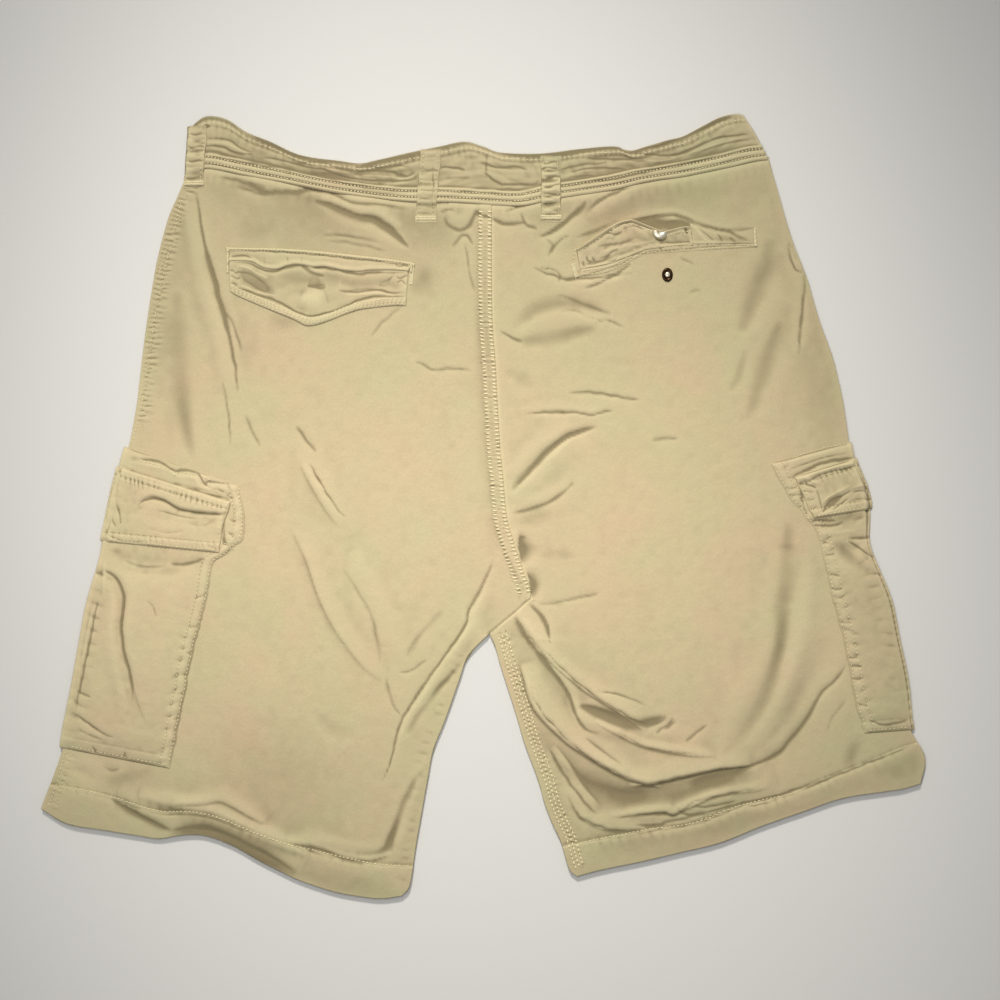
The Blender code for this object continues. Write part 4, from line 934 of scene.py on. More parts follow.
# The right panel's edge, moved under the left panel except at its two ends.
def tucked(route):
    curve = smooth(route)
    run = lengths(curve)
    amount = centre["tuck"] * step(run / 5) * step((run[-1] - run) / 5) - gap / 2
    return aside(curve, -amount)


seamEdges = [smooth(centre["seam"]), smooth(centre["tip"])]
backPanel("backLeft", "back_left", leftPanel, splitSide(leftPanel["side"]),
          [*seamEdges, smooth(leftPanel["inseam"])])
backPanel("backRight", "back_right", rightPanel,
          [tucked(centre["seam"]), tucked(centre["tip"]), smooth(rightPanel["inseam"])],
          splitSide(rightPanel["side"]))

fellRoute = along(centre["seam"], np.linspace(0.012, 0.985, 240))
for distance in centre["fellRows"]:
    route = aside(fellRoute, -distance)
    sew(np.column_stack([route, at(ground, route)]), pitch=3.3, length=4.2, radius=0.85, lift=0.0, turn=1.3)
inseamRoute = along(rightPanel["inseam"], np.linspace(0.02, 0.975, 150))
for distance in rightPanel["inseamRows"]:
    route = aside(inseamRoute, distance)
    sew(np.column_stack([route, at(ground, route)]), pitch=3.7, length=2.7, radius=0.72)
print("back panels")


waistband = {
    "flat": (0.5, 0.046),
    "area": 0.0205,
    "top": ((-249,318), (-243,325), (-233,330), (-217,327), (-200,316), (-180,308), (-155,297), (-122,292),
        (-104,290), (-88,293), (-62,299), (-37,304), (-16,308), (0,304), (15,299), (48,298), (82,302),
        (111,304), (123,300), (138,304), (155,309), (170,313), (187,322), (201,329), (214,332), (221,331)),
    "end": ((221,331), (233,312), (242.3,293)),
    "ridges": ((2.2, 0.4, 1.0), (7.5, 0.5, 1.9), (13.0, 0.45, 1.7)),  # distance from the seam, rise, width
    "grooves": ((4.6, 0.9, 0.8), (10.4, 1.1, 0.9), (0.6, 0.4, 0.6)),
    "topRow": 6.0,
    "rim": 1.5,  # how dark the painted shade along the top edge is
}
waistband["folds"] = {
    "end curl": (-0.8, 1.4, (-243,291), (-242,295), (-238,298), (-231,298)),
    "end ripple one": (-0.9, 1.5, (-240,305), (-221,304), (-213,300), (-206,298), (-195,297)),
    "end ripple two": (-0.7, 1.4, (-234,311), (-224,311), (-214,309), (-206,303), (-196,299)),
    "end ripple three": (-0.6, 1.4, (-236,300), (-227,300), (-207,293)),
    "end ridge": (0.6, 3, (-236,308), (-222,307), (-210,303), (-198,296)),
    "end nick": (-1.6, 1.8, (-237,321), (-231,322)),
    "upper groove": (-1, 1.5, (-241,293), (-234,297), (-219,296), (-207,291), (-173,286), (-159,283),
        (-129,276), (-110,270)),
    "long ripple": (-0.9, 1.5, (-188,295), (-173,293), (-151,287), (-133,284), (-123,280), (-105,276),
        (-88,275)),
    "long ripple ridge": (0.6, 3.5, 3, (-183,299), (-164,295), (-150,290), (-103,278)),
    "rim blotch": (-0.8, 3.4, (-191,309), (-177,304), (-154,294), (-126,295), (-114,290), (-94,290)),
    "rim fold": (-0.8, 1.5, (-156,290), (-143,291), (-131,289), (-121,285), (-111,283)),
    "loop ripple": (-1, 1.6, (-109,280), (-101,283), (-78,283), (-71,280), (-64,279), (-57,283)),
    "loop ripple two": (-0.8, 1.5, (-105,277), (-94,275), (-69,275), (-59,277), (-54,283)),
    "loop ripple three": (-0.6, 1.5, (-111,286), (-99,287), (-88,286), (-74,288), (-62,287)),
    "loop ridge": (0.6, 3, (-103,279), (-88,279), (-71,277), (-58,279)),
    "right of loop tick": (-1.1, 1.6, (-37,285), (-31,287), (-15,284)),
    "right of loop soft": (-0.5, 2.4, (-32,277), (-21,278), (-11,277)),
    "centre dip": (-1, 1.5, 1.7, (-1,283), (14,273), (20,272), (42,272), (47,276)),
    "centre dip two": (-0.7, 1.5, (-3,291), (6,288), (16,286), (27,287), (38,284)),
    "centre join": (-0.45, 1.3, (3,300), (3,277)),
    "centre low": (-0.6, 1.5, (10,266), (23,268), (35,266), (47,269)),
    "right blotch": (-0.9, 2.6, (66,284), (86,289), (105,290)),
    "right blotch two": (-0.8, 1.6, (74,282), (86,285), (98,286), (122,285)),
    "right blotch three": (-0.6, 1.6, (71,277), (82,279), (97,279), (111,281)),
    "right upper groove": (-1, 1.5, (67,269), (91,274), (113,276), (144,284), (189,294), (228,305)),
    "right long ripple": (-1, 1.6, (123,297), (133,298), (152,296), (162,297), (173,300), (195,310),
        (210,313), (228,315)),
    "right long ridge": (0.6, 3, 3.4, (127,294), (150,292), (169,296), (198,306), (225,312)),
    "right rim line": (-0.9, 1.5, (133,301), (144,303), (157,307), (210,329)),
    "right rim short": (-0.7, 1.5, (87,294), (118,293), (133,294)),
    "right nick": (-1.2, 1.6, (118,304), (122,300), (127,298)),
    "right end ripple": (-0.6, 1.5, (184,300), (212,308), (227,310)),
}
waistband["shades"] = {
    "rim left": (-1.9, 3.2, (-213,324), (-183,310), (-168,304), (-154,296), (-137,294), (-111,289)),
    "rim middle": (-0.9, 4.5, (-111,289), (-92,289), (-45,301), (-15,306)),
    "rim right": (-1.3, 3.4, (1,302), (23,298), (53,296), (110,303), (125,300), (146,305), (167,312),
        (189,323), (208,329), (218,326)),
    "left half": (-0.5, 15, (-228,302), (-190,294), (-147,283), (-96,278), (-45,277)),
    "ripples": (-0.4, 5, (-156,289), (-130,284), (-105,282), (-71,282), (-54,283)),
    "middle": (-0.35, 14, (-37,281), (48,281)),
    "right half": (-0.55, 14, (65,278), (116,285), (167,295), (218,311)),
    "upper groove left": (-0.8, 1.7, (-241,294), (-219,296), (-187,288), (-141,279), (-110,271), (-71,266),
        (-37,266)),
    "upper groove right": (-0.8, 1.7, (-3,266), (31,266), (67,269), (113,276), (189,294), (228,306)),
}

half = np.linspace(0, 1, 319)
seamLine = np.vstack([along(leftPanel["waist"], half), along(rightPanel["waist"], half)[1:]])
seamLine = seamLine[: len(seamLine) - (len(seamLine) - 1) % 3]
seamLine[-1] = rightPanel["waist"][-1]
down = marks(44, 0.72, multiple=3) / 44
topLine = along(waistband["top"], np.linspace(0, 1, len(seamLine)))
bandWest = (1 - down[:, None]) * topLine[0] + down[:, None] * seamLine[0]
places = coons(topLine, seamLine, bandWest, along(waistband["end"], down))
runs = gridRuns(places)
fromTop, fromSeam, x = runs["north"], runs["south"], places[..., 0]
ends = np.minimum(runs["west"], runs["east"])
height = 3.1 + 1.7 * (1 - np.exp(-ends / 24))
height += 0.4 * lumps(x / 29, fromTop / 7, 5) + 0.3 * lumps(x / 12, fromTop / 4.4, 6) * step(fromSeam / 14)
height += 0.9 * step((14.5 - fromSeam) / 2.2)
addFolds(height, places, waistband["folds"])
# A row of stitches lies in each groove, and draws a dimple at each of its holes.
for distance, rise, width in waistband["ridges"]:
    height += rise * bell((fromSeam - distance) / width)
for distance, depth, width in waistband["grooves"]:
    uneven = 0.75 + 0.45 * lumps(x / 14, x / 90, distance)
    dimple = 1 + 0.6 * np.cos(2 * np.pi * x / 2.9 + 2.5 * lumps(x / 21, x / 50, distance))
    height -= depth * uneven * dimple * bell((fromSeam - distance - 0.5 * lumps(x / 23, x / 70, 9)) / width)
topRow = waistband["topRow"]
height += 0.15 * bell((fromTop - topRow) / 1.6) - 0.2 * bell((fromTop - topRow - 2.6) / 1.4)
height += 0.1 * np.cos(2 * np.pi * x / 4.4 + 3 * lumps(x / 25, x / 80, 10)) * bell((fromTop - topRow) / 2.6)
for number, (distance, width, pitch, rise) in enumerate(((17, 7, 10, 0.12), (7, 6, 7.5, 0.1))):
    pucker(height, places, waistband["top"], -distance, width, pitch, rise, 0.3, shift=30 + number)
height = height.clip(2.9) - rolled(fromTop, 0.9) - rolled(fromSeam, 1.0) - rolled(ends, 1.2)
# Painted shade along the rolled top edge, uneven along the band, and in the two stitched grooves.
shade = -waistband["rim"] * (1 - step((fromTop - 1.6) / 2.4)) * (0.75 + 0.5 * lumps(x / 19, x / 80, 12))
for distance, depth, width in waistband["grooves"][:2]:
    shade -= 0.55 * bell((fromSeam - distance) / 1.1)
addFolds(shade, places, waistband["shades"])
# The lower edge laps over the panels, so its inner face stands above their tucked edges there.
inner = underside + 0.05 + (height - 0.4 - underside - 0.05) * step((4.6 - fromSeam) / 2)
outer = np.dstack([places, height])
inner = np.dstack([places, np.minimum(inner, height - 0.3)])
# All four edges of the band are painted in shade as well.
band = shell("waistbandBack", outer, inner, 3, shade, 0.75, -0.7)
lay(outer)
finishPiece(band, "waistband_back")
for distance, depth, width in waistband["grooves"][:2]:
    sewOnGrid(outer, runs, "south", distance, pitch=2.9, length=2.0, radius=0.52, lift=0.4)
sewOnGrid(outer, runs, "north", topRow, pitch=3.5, length=2.2, radius=0.4, lift=0.0)
print("waistband")


leftCargo = {
    "flat": (0.21, 0.27),
    "area": 0.05,
    "outline": ((-306,50), (-310,36), (-318,5), (-324.5,-30), (-328,-48), (-338,-82), (-344,-114),
        (-350,-148), (-357,-182), (-361,-205)),
    "inner": ((-206.5,17.5), (-202,-5), (-203,-28), (-216,-40), (-228,-48), (-231,-66), (-240,-104),
        (-247,-134), (-254,-172), (-264.4,-223)),
    "side": 1,
    "puff": 2.6,
    "edge": 2.8,  # how softly its thickness grows from its sewn edge
    "puckers": (("inner", -8, 5, 12, 0.5, 0.2), ("outline", 12, 6, 11, 0.35, 0.0)),
    "rows": {
        "top": ((-294,39), (-269,32), (-261,26), (-255,28), (-239,25), (-230,21)),
        "yoke": ((-206,16), (-206,5), (-204,-5), (-204,-18), (-206,-28)),
        "corner": ((-209,-37), (-218,-37)),
    },
}
leftCargo["folds"] = {
    "top seam": (-1.2, 1.6, 1.8, (-300,41), (-279,38), (-272,36), (-261,29), (-254,30), (-242,28),
        (-235,18), (-231,20), (-203,18)),
    "top seam ridge": (0.8, 3, (-300,37), (-269,31), (-259,25), (-244,23), (-237,15), (-205,14)),
    "top zigzag": (-0.9, 1.5, (-236,21), (-233,17), (-228,14), (-224,14), (-218,11)),
    "corner zigzag": (-0.7, 1.4, (-217,17), (-212,12), (-216,9), (-210,6)),
    "hinge": (-2.2, 2, 2.4, (-310,31), (-299,26), (-279,20), (-256,14), (-221,7), (-214,4)),
    "hinge second": (-0.7, 1.3, (-309,35), (-298,30), (-278,23), (-255,17), (-220,10)),
    "beside flap": (-0.6, 1.7, 2, (-213,2), (-218,-7), (-219,-28), (-221,-37)),
    "yoke light": (0.7, 4, (-210,10), (-207,-2), (-208,-16), (-211,-28)),
    "yoke tick": (-0.6, 1.4, (-215,-12), (-210,-13), (-204,-12)),
    "yoke tick two": (-0.6, 1.4, (-216,-23), (-210,-24), (-204,-23)),
    "lower corner": (-1, 1.5, 1.6, (-222,-43), (-217,-40), (-206,-30)),
    "lower corner two": (-0.7, 1.4, (-218,-34), (-213,-32), (-207,-27)),
    "deep": (-1.6, 2.2, 3, (-326,-55), (-319,-56), (-312,-59), (-307,-65), (-304,-72), (-303,-83),
        (-305,-109), (-297,-148), (-295,-164)),
    "deep ridge": (1.2, 12, 5, (-315,-51), (-304,-58), (-298,-70), (-296,-84), (-298,-102), (-297,-119),
        (-292,-135), (-287,-157), (-281,-177)),
    "deep left ridge": (0.8, 4, 6, (-320,-63), (-314,-74), (-312,-87), (-314,-106), (-312,-123),
        (-308,-148), (-302,-170)),
    "corner dark": (-1.4, 3.4, (-331,-54), (-320,-60)),
    "corner fold": (0.8, 2.4, (-320,-46), (-320,-79)),
    "seam line": (0.7, 1.5, (-328,-79), (-348,-174)),
    "seam groove": (-0.7, 1.4, (-325,-79), (-345,-176)),
    "edge crease": (-0.9, 1.6, (-343,-157), (-331,-162)),
    "low crease": (-1.1, 1.7, 1.8, (-348,-175), (-341,-178), (-335,-183), (-319,-193), (-311,-196)),
    "low crease two": (-0.6, 1.5, (-343,-188), (-332,-194), (-321,-198)),
    "under flap tick": (-1, 1.8, (-264,-49), (-258,-50), (-250,-49), (-242,-47), (-235,-44)),
    "under flap long": (-0.4, 1.7, (-302,-47), (-290,-51), (-278,-52), (-268,-51)),
    "under flap soft": (-0.4, 6, (-309,-51), (-283,-56), (-253,-55), (-234,-50)),
    "face soft": (-0.5, 7, (-269,-68), (-275,-89), (-276,-114)),
    "face soft low": (0.5, 9, (-275,-131), (-270,-157), (-268,-178)),
    "face diagonal": (-0.5, 1.7, (-283,-80), (-278,-86), (-275,-95)),
    "tick one": (-0.9, 1.5, (-244,-78), (-238,-77), (-233,-74)),
    "tick two": (-0.8, 1.5, (-248,-103), (-242,-102), (-237,-100)),
    "tick three": (-0.8, 1.5, (-252,-125), (-246,-124), (-241,-121)),
    "tick four": (-0.8, 1.5, (-255,-143), (-249,-142), (-244,-140)),
    "tick five": (-0.8, 1.5, (-259,-159), (-253,-159), (-249,-157)),
    "tick six": (-0.8, 1.5, (-262,-181), (-252,-178)),
    "tick seven": (-0.7, 1.5, (-266,-200), (-255,-198)),
    "foot tick": (-0.7, 1.5, (-330,-203), (-328,-208), (-328,-212)),
    "foot tick two": (-0.7, 1.5, (-303,-208), (-302,-217)),
}
leftCargo["shades"] = {
    "yoke": (-0.25, 9, (-302,47), (-236,27)),
    "below flap": (-0.3, 5, (-322,-39), (-300,-43), (-275,-46), (-249,-47), (-225,-43)),
    "edge band": (-0.4, 5, 7, (-327,-74), (-336,-106), (-351,-181)),
    "strip": (0.3, 6, (-315,-80), (-320,-114), (-322,-178)),
    "right band": (-0.2, 7, (-233,-59), (-238,-97), (-256,-182), (-264,-216)),
    "foot": (-0.35, 6, (-354,-201), (-334,-205), (-309,-212), (-270,-220)),
    "upper": (0.25, 20, (-270,-63), (-275,-97), (-283,-131)),
}
leftCargo["flap"] = {
    "flat": (0.12, 0.07),
    "area": 0.0062,
    "span": (0.066, 0.315),  # where it starts and ends on the pocket's outline
    "inner": ((-213,3.5), (-214.5,-4), (-218.5,-14), (-221,-28), (-222.6,-40)),
}
leftCargo["flap"]["folds"] = {
    "second": (-1.6, 1.8, 2, (-292,0), (-286,4), (-279,6), (-267,3), (-259,-2), (-252,-5), (-214,-9)),
    "second ledge": (1.2, 7, 2.4, (-290,6), (-280,10), (-269,7), (-259,2), (-249,-1), (-218,-5)),
    "second twin": (-0.6, 1.4, (-275,-4), (-252,-10), (-241,-11)),
    "left line": (-0.9, 1.6, (-313,3), (-309,-2), (-307,-8), (-306,-16)),
    "left line two": (-0.7, 1.5, (-318,-6), (-310,-18)),
    "left hollow": (-1.3, 6, (-312,11), (-319,-18)),
    "low line": (-0.8, 1.4, (-321,-23), (-307,-29), (-295,-31), (-283,-31)),
    "right fold": (0.9, 3.5, (-216,2), (-220,-11), (-222,-24)),
    "right smudge": (-0.5, 4, (-249,-15), (-236,-17), (-225,-11)),
    "middle ridge": (0.5, 8, (-300,-12), (-275,-17), (-245,-21)),
    "middle line": (-0.5, 1.5, (-283,-19), (-273,-22), (-261,-23), (-251,-21)),
    "tack": (-0.8, 1.4, (-230,-34), (-222,-39)),
}
leftCargo["flap"]["shades"] = {
    "left": (-0.5, 8, (-312,15), (-320,-24)),
    "under second": (-0.3, 4, (-283,0), (-262,-6), (-236,-11), (-218,-12)),
    "face": (0.25, 9, (-292,-12), (-266,-21), (-232,-24)),
    "hinge": (-0.2, 4, (-309,27), (-279,16), (-236,6)),
}

rightCargo = {
    "flat": (0.17, 0.25),
    "area": 0.034,
    "outline": ((314,54), (318,38), (330,5), (330,-29), (335,-46), (349,-80), (356,-114), (363,-148),
        (366,-178), (368.5,-190)),
    "inner": ((244,36), (258,8), (272,-8), (281,-22), (287,-40), (294,-75), (303,-106), (309,-135),
        (316,-170), (323,-193)),
    "side": -1,
    "puff": 2.2,
    "edge": 2.4,
    "puckers": (("inner", 8, 5, 10, 0.45, 0.2), ("outline", -12, 6, 11, 0.3, 0.0)),
    "rows": {
        "top": ((248,34), (270,43), (283,47), (295,50), (312,52)),
    },
}
rightCargo["folds"] = {
    "top seam": (-1, 1.6, (245,37), (283,50), (295,53), (313,55)),
    "top ridge": (0.6, 3, (249,34), (270,41), (295,48), (312,51)),
    "hinge": (-2, 2.2, 1.9, (261,22), (266,26), (282,34), (292,37), (316,40)),
    "hinge twin": (-0.7, 1.4, (256,28), (266,33), (280,38), (295,42), (314,45)),
    "left line": (-0.9, 1.5, (246,15), (255,14), (264,15)),
    "left line two": (-0.8, 1.4, (251,8), (268,9)),
    "left line three": (-0.9, 1.5, (253,-2), (270,-1)),
    "left ridge": (0.6, 3, (249,12), (258,11), (267,12)),
    "column": (-1.1, 1.8, 1.6, (267,22), (274,-11)),
    "under flap": (-1.2, 1.9, (275,-14), (282,-13), (298,-13)),
    "under flap two": (-1, 1.7, (276,-17), (297,-17), (305,-14)),
    "under flap ridge": (0.8, 4, (280,-22), (295,-23), (326,-19)),
    "dark band": (-1.4, 2.8, (309,-28), (331,-28)),
    "crisp diagonal": (-1.4, 1.7, 2, (309,-30), (333,-46)),
    "diagonal ridge": (0.9, 3, 6, (309,-37), (327,-51)),
    "dark soft": (-1.2, 7, (300,-34), (324,-53)),
    "soft ridge": (0.9, 8, (298,-46), (312,-63), (322,-80)),
    "face soft": (-0.5, 7, (326,-68), (336,-114)),
    "face soft low": (0.4, 8, (327,-114), (334,-140), (339,-165)),
    "corner dark": (-0.7, 1.5, (330,-57), (334,-58), (337,-61)),
    "tick one": (-0.8, 1.5, (284,-31), (294,-32)),
    "tick two": (-0.8, 1.5, (287,-41), (293,-42), (298,-41)),
    "tick three": (-0.9, 1.5, (290,-58), (301,-59)),
    "tick four": (-0.8, 1.5, (293,-70), (299,-71), (304,-70)),
    "tick five": (-0.6, 1.5, (296,-77), (301,-78), (305,-77)),
    "tick six": (-0.8, 1.5, (300,-97), (306,-99), (311,-98)),
    "tick seven": (-0.7, 1.5, (302,-104), (312,-105)),
    "tick eight": (-0.9, 1.5, (306,-127), (312,-129), (317,-128)),
    "tick nine": (-0.8, 1.5, (308,-135), (320,-136)),
    "tick ten": (-0.6, 1.5, (310,-146), (320,-147)),
    "tick eleven": (-0.7, 1.5, (316,-168), (326,-169)),
    "seam groove": (-0.7, 1.4, (348,-80), (360,-148), (361,-176)),
    "seam line": (0.6, 1.5, (351,-80), (362,-148), (364,-176)),
    "foot crease": (-0.8, 1.6, (326,-181), (337,-185), (350,-184), (363,-180)),
}
rightCargo["shades"] = {
    "body": (-0.05, 26, (320,-46), (341,-148), (348,-191)),
    "yoke": (-0.25, 9, (254,36), (280,45), (308,51)),
    "below flap": (-0.6, 4.5, (276,-15), (292,-15), (309,-9), (329,-4)),
    "soft": (-0.45, 8, (302,-34), (312,-43), (324,-51)),
    "edge band": (-0.35, 5, (351,-80), (358,-123), (363,-165)),
    "foot": (-0.4, 6, (327,-189), (365,-186)),
}
rightCargo["flap"] = {
    "flat": (0.075, 0.05),
    "area": 0.0026,
    "span": (0.055, 0.235),
    "inner": ((263,24), (268,14), (272,6), (275,-2), (280,-11)),
}
rightCargo["flap"]["folds"] = {
    "second": (-1.4, 1.7, (272,17), (282,24), (290,27), (309,32), (320,34)),
    "second ridge": (1.1, 3.2, (270,22), (290,31), (317,36)),
    "tab light": (1, 2.4, (265,22), (272,23), (279,21), (285,18)),
    "tab dark": (-1.5, 1.6, (266,18), (277,17), (282,15)),
    "column one": (-0.9, 1.4, (269,12), (280,11)),
    "column two": (-0.8, 1.4, (271,6), (276,4), (281,6)),
    "column three": (-0.8, 1.4, (273,-1), (278,-3), (283,-1)),
    "column four": (-0.7, 1.4, (275,-6), (280,-8), (285,-7)),
    "column side": (-0.8, 1.5, (282,14), (288,-7)),
    "pit": (-2.2, 3.4, (287,-5), (298,5), (303,8)),
    "pit line": (-1.3, 1.5, (286,-6), (298,4), (311,13)),
    "pit line two": (-0.9, 1.4, (294,-6), (303,2), (309,6)),
    "pit rim": (1.4, 3, (286,1), (293,7), (310,17)),
    "roll": (1.2, 4, 3.4, (310,14), (318,16), (326,16), (332,14)),
    "roll line": (-0.8, 1.4, (312,11), (320,12), (333,10)),
    "low rim": (0.9, 2.6, (275,-8), (284,-8), (292,-6), (302,-2)),
    "lower face": (-0.6, 1.5, (309,3), (317,5), (326,5), (332,4)),
}
rightCargo["flap"]["shades"] = {
    "pit": (-0.8, 4, (288,-4), (306,9)),
    "face": (-0.2, 9, (295,23), (312,25), (326,23)),
    "tab": (0.6, 2.4, (265,23), (273,23), (280,21)),
}


cargoStitches = {  # distance of each row from its edge; the flap's lower rows also have a depth
    "pocketInner": (2.2, 9.2),
    "pocketFoot": 2.8,
    "flapFoot": ((2,0.2), (7.8,0.35)),
    "flapHinge": 7.4,
    "flapInner": 2.6,
}


# A piece's side that comes up from the floor to its face: half an ellipse, inside it a thinner one.
def turnedSide(outline, inward, face, wall):
    angle = np.linspace(-np.pi / 2, np.pi / 2, 11)
    swing = np.cos(angle).clip(0) ** 0.7
    rise = 0.5 + 0.5 * np.sin(angle)
    out = outline[:, None] + inward[:, None] * (2.0 * (1 - swing))[None, :, None]
    within = outline[:, None] + inward[:, None] * (wall + 1.4 * (1 - swing))[None, :, None]
    return np.dstack([out, face * rise]), np.dstack([within, wall + (face - 2 * wall) * rise])


# The face of a cargo piece: its grid runs from the garment's side edge to the sewn inner edge.
def cargoFace(columns, outline, inner, start):
    rim = [0.98, 0.987, 0.992, 0.996, 0.9985, 1.0]
    across = np.concatenate([np.linspace(start, 0.972, columns), rim])
    places = outline[:, None] + across[:, None] * (inner - outline)[:, None]
    return places, gridRuns(places), at(drape(), places), across[None]


# The shell of a cargo piece, with the painted shade and light of its shade table on its face. One on the
# far side is turned over to face up.
def cargoShell(name, node, look, side, outer, inner, face):
    shade, tint = np.zeros(outer.shape[:2]), np.zeros(face.shape[:2])
    addFolds(tint, face[..., :2], look["shades"])
    shade[:, -face.shape[1] :] = tint
    if side < 0:
        outer, inner, shade = outer[:, ::-1], inner[:, ::-1], shade[:, ::-1]
    rows, columns = (count - (count - 1) % 2 for count in outer.shape[:2])
    outer, inner, shade = (part[:rows, :columns] for part in (outer, inner, shade))
    obj = shell(name, outer, inner, 2, shade, 1.0, 0.4)
    lay(face)
    finishPiece(obj, node)


# A pocket wrapped round the garment's side: a flat part underneath, the turned side and a full face.
def cargoPocket(name, node, look):
    down = marks(1.0, 1 / 238, (0, 0.0008, 0.003, 0.007), 2)
    outline, sewn = along(look["outline"], down), along(look["inner"], down)
    outline[:, 0] += look["side"] * 1.8
    run = lengths(sewn)
    sewn = aside(sewn, 0.7 * lumps(run / 9, 0 * down, 60) + 0.4 * lumps(run / 4, 0 * down, 61))
    size = np.linalg.norm(sewn - outline, axis=1)[:, None]
    inward = (sewn - outline) / size
    face, runs, level, across = cargoFace(94, outline, sewn, 0.055)
    fromSewn, fromFoot, fromMouth = runs["east"], runs["south"], runs["north"]
    v = down[:, None]
    rim = np.minimum(np.minimum(fromSewn, fromFoot), fromMouth)
    swell = np.sin(np.pi * across).clip(0) ** 0.7 * step((v - 0.3) / 0.15) * step((1 - v) / 0.1)
    relief = look["puff"] * swell + 0.25 * lumps(face[..., 0] / 15, face[..., 1] / 19, 12)
    relief += 0.1 * lumps(face[..., 0] / 5, face[..., 1] / 6, 13)
    addFolds(relief, face, look["folds"])
    for number, (edge, away, width, pitch, rise, slant) in enumerate(look["puckers"]):
        pucker(relief, face, look[edge], away, width, pitch, rise, slant, shift=40 + number)
    for distance in cargoStitches["pocketInner"]:
        relief -= 0.18 * bell(fromSewn - distance)
    relief += 0.3 * bell((fromSewn - 5.6) / 2.6)
    relief += 0.35 * step((11 - fromFoot) / 2) - 0.25 * bell(fromFoot - cargoStitches["pocketFoot"])
    thick = 1.45 * (1 - np.exp(-rim / look["edge"]))
    height = level + 0.12 + np.maximum(thick + relief * step(rim / 3), 0)
    outer, inner = turnedSide(outline, inward, height[:, :1], 1.35)
    under = outline[:, None] + inward[:, None] * (96 * (1 - np.linspace(0, 0.97, 7)))[None, :, None]
    flat = np.zeros(under.shape[:2])
    outer = np.concatenate([np.dstack([under, flat]), outer, np.dstack([face, height])], 1)
    inside = np.dstack([face, np.maximum(np.minimum(level + 0.05, height - 0.1), height - 1.35)])
    inner = np.concatenate([np.dstack([under, flat + 1.3]), inner, inside], 1)
    top = np.dstack([face, height])
    cargoShell(name, node, look, look["side"], outer, inner, top)
    for distance in cargoStitches["pocketInner"]:
        sewOnGrid(top, runs, "east", distance, trim=6)
    sewOnGrid(top, runs, "south", cargoStitches["pocketFoot"], trim=4)
    for row in look["rows"].values():
        sewOnGround(row)


# The flap over a cargo pocket's mouth, with a turned hinge above and a turned lower edge.
def cargoFlap(name, node, pocket):
    look = pocket["flap"]
    start, end = look["span"]
    down = marks(1.0, 1 / 84, (0, 0.002, 0.006, 0.013, 0.024), 2)
    outline = along(pocket["outline"], start + (end - start) * down)
    sewn = along(look["inner"], down)
    inward = (sewn - outline) / np.linalg.norm(sewn - outline, axis=1)[:, None]
    columns = 112 if pocket["side"] > 0 else 76
    face, runs, level = cargoFace(columns, outline, sewn, 0.05)[:3]
    fromHinge, fromFoot, fromSewn = runs["north"], runs["south"], runs["east"]
    x = runs["west"]
    relief = 0.22 * lumps(face[..., 0] / 11, face[..., 1] / 8, 14)
    relief += 0.1 * lumps(face[..., 0] / 4, face[..., 1] / 4, 15)
    relief += 0.5 * step((8.6 - fromFoot) / 1.6) + 0.4 * step((6.5 - fromHinge) / 2)
    addFolds(relief, face, look["folds"])
    hinge, foot = (spaced(face[row], np.linspace(0, 1, 12)) for row in (0, -1))
    pucker(relief, face, hinge, -7.4 * pocket["side"], 4, 4.6, 0.42, 0.3, 50)
    pucker(relief, face, foot, 5.0 * pocket["side"], 3.5, 5.5, 0.3, 0.2, 51)
    for distance, depth in cargoStitches["flapFoot"]:
        relief -= depth * (0.8 + 0.4 * lumps(x / 9, x / 40, 16)) * bell((fromFoot - distance) / 0.9)
    relief -= 0.4 * bell((fromHinge - cargoStitches["flapHinge"]) / 0.9)
    relief -= 0.2 * bell((fromSewn - cargoStitches["flapInner"]) / 0.9)
    rim = np.minimum(np.minimum(fromHinge, fromFoot), fromSewn)
    thick = 1.4 * (1 - np.exp(-rim / 0.9))
    height = level + 0.12 + np.maximum(thick + relief * step(rim / 2), 0)
    outer, inner = turnedSide(outline, inward, height[:, :1], 1.35)
    outer = np.concatenate([outer, np.dstack([face, height])], 1)
    inner = np.concatenate([inner, np.dstack([face, np.maximum(level + 0.05, height - 1.4)])], 1)
    top = np.dstack([face, height])
    cargoShell(name, node, look, pocket["side"], outer, inner, top)
    for distance, _ in cargoStitches["flapFoot"]:
        sewOnGrid(top, runs, "south", distance, trim=3)
    sewOnGrid(top, runs, "north", cargoStitches["flapHinge"], trim=3)
    sewOnGrid(top, runs, "east", cargoStitches["flapInner"], trim=8)


cargoPocket("cargoPocketLeft", "cargo_pocket_left", leftCargo)
cargoPocket("cargoPocketRight", "cargo_pocket_right", rightCargo)
cargoFlap("cargoFlapLeft", "cargo_flap_left", leftCargo)
cargoFlap("cargoFlapRight", "cargo_flap_right", rightCargo)
print("cargo pockets and flaps")

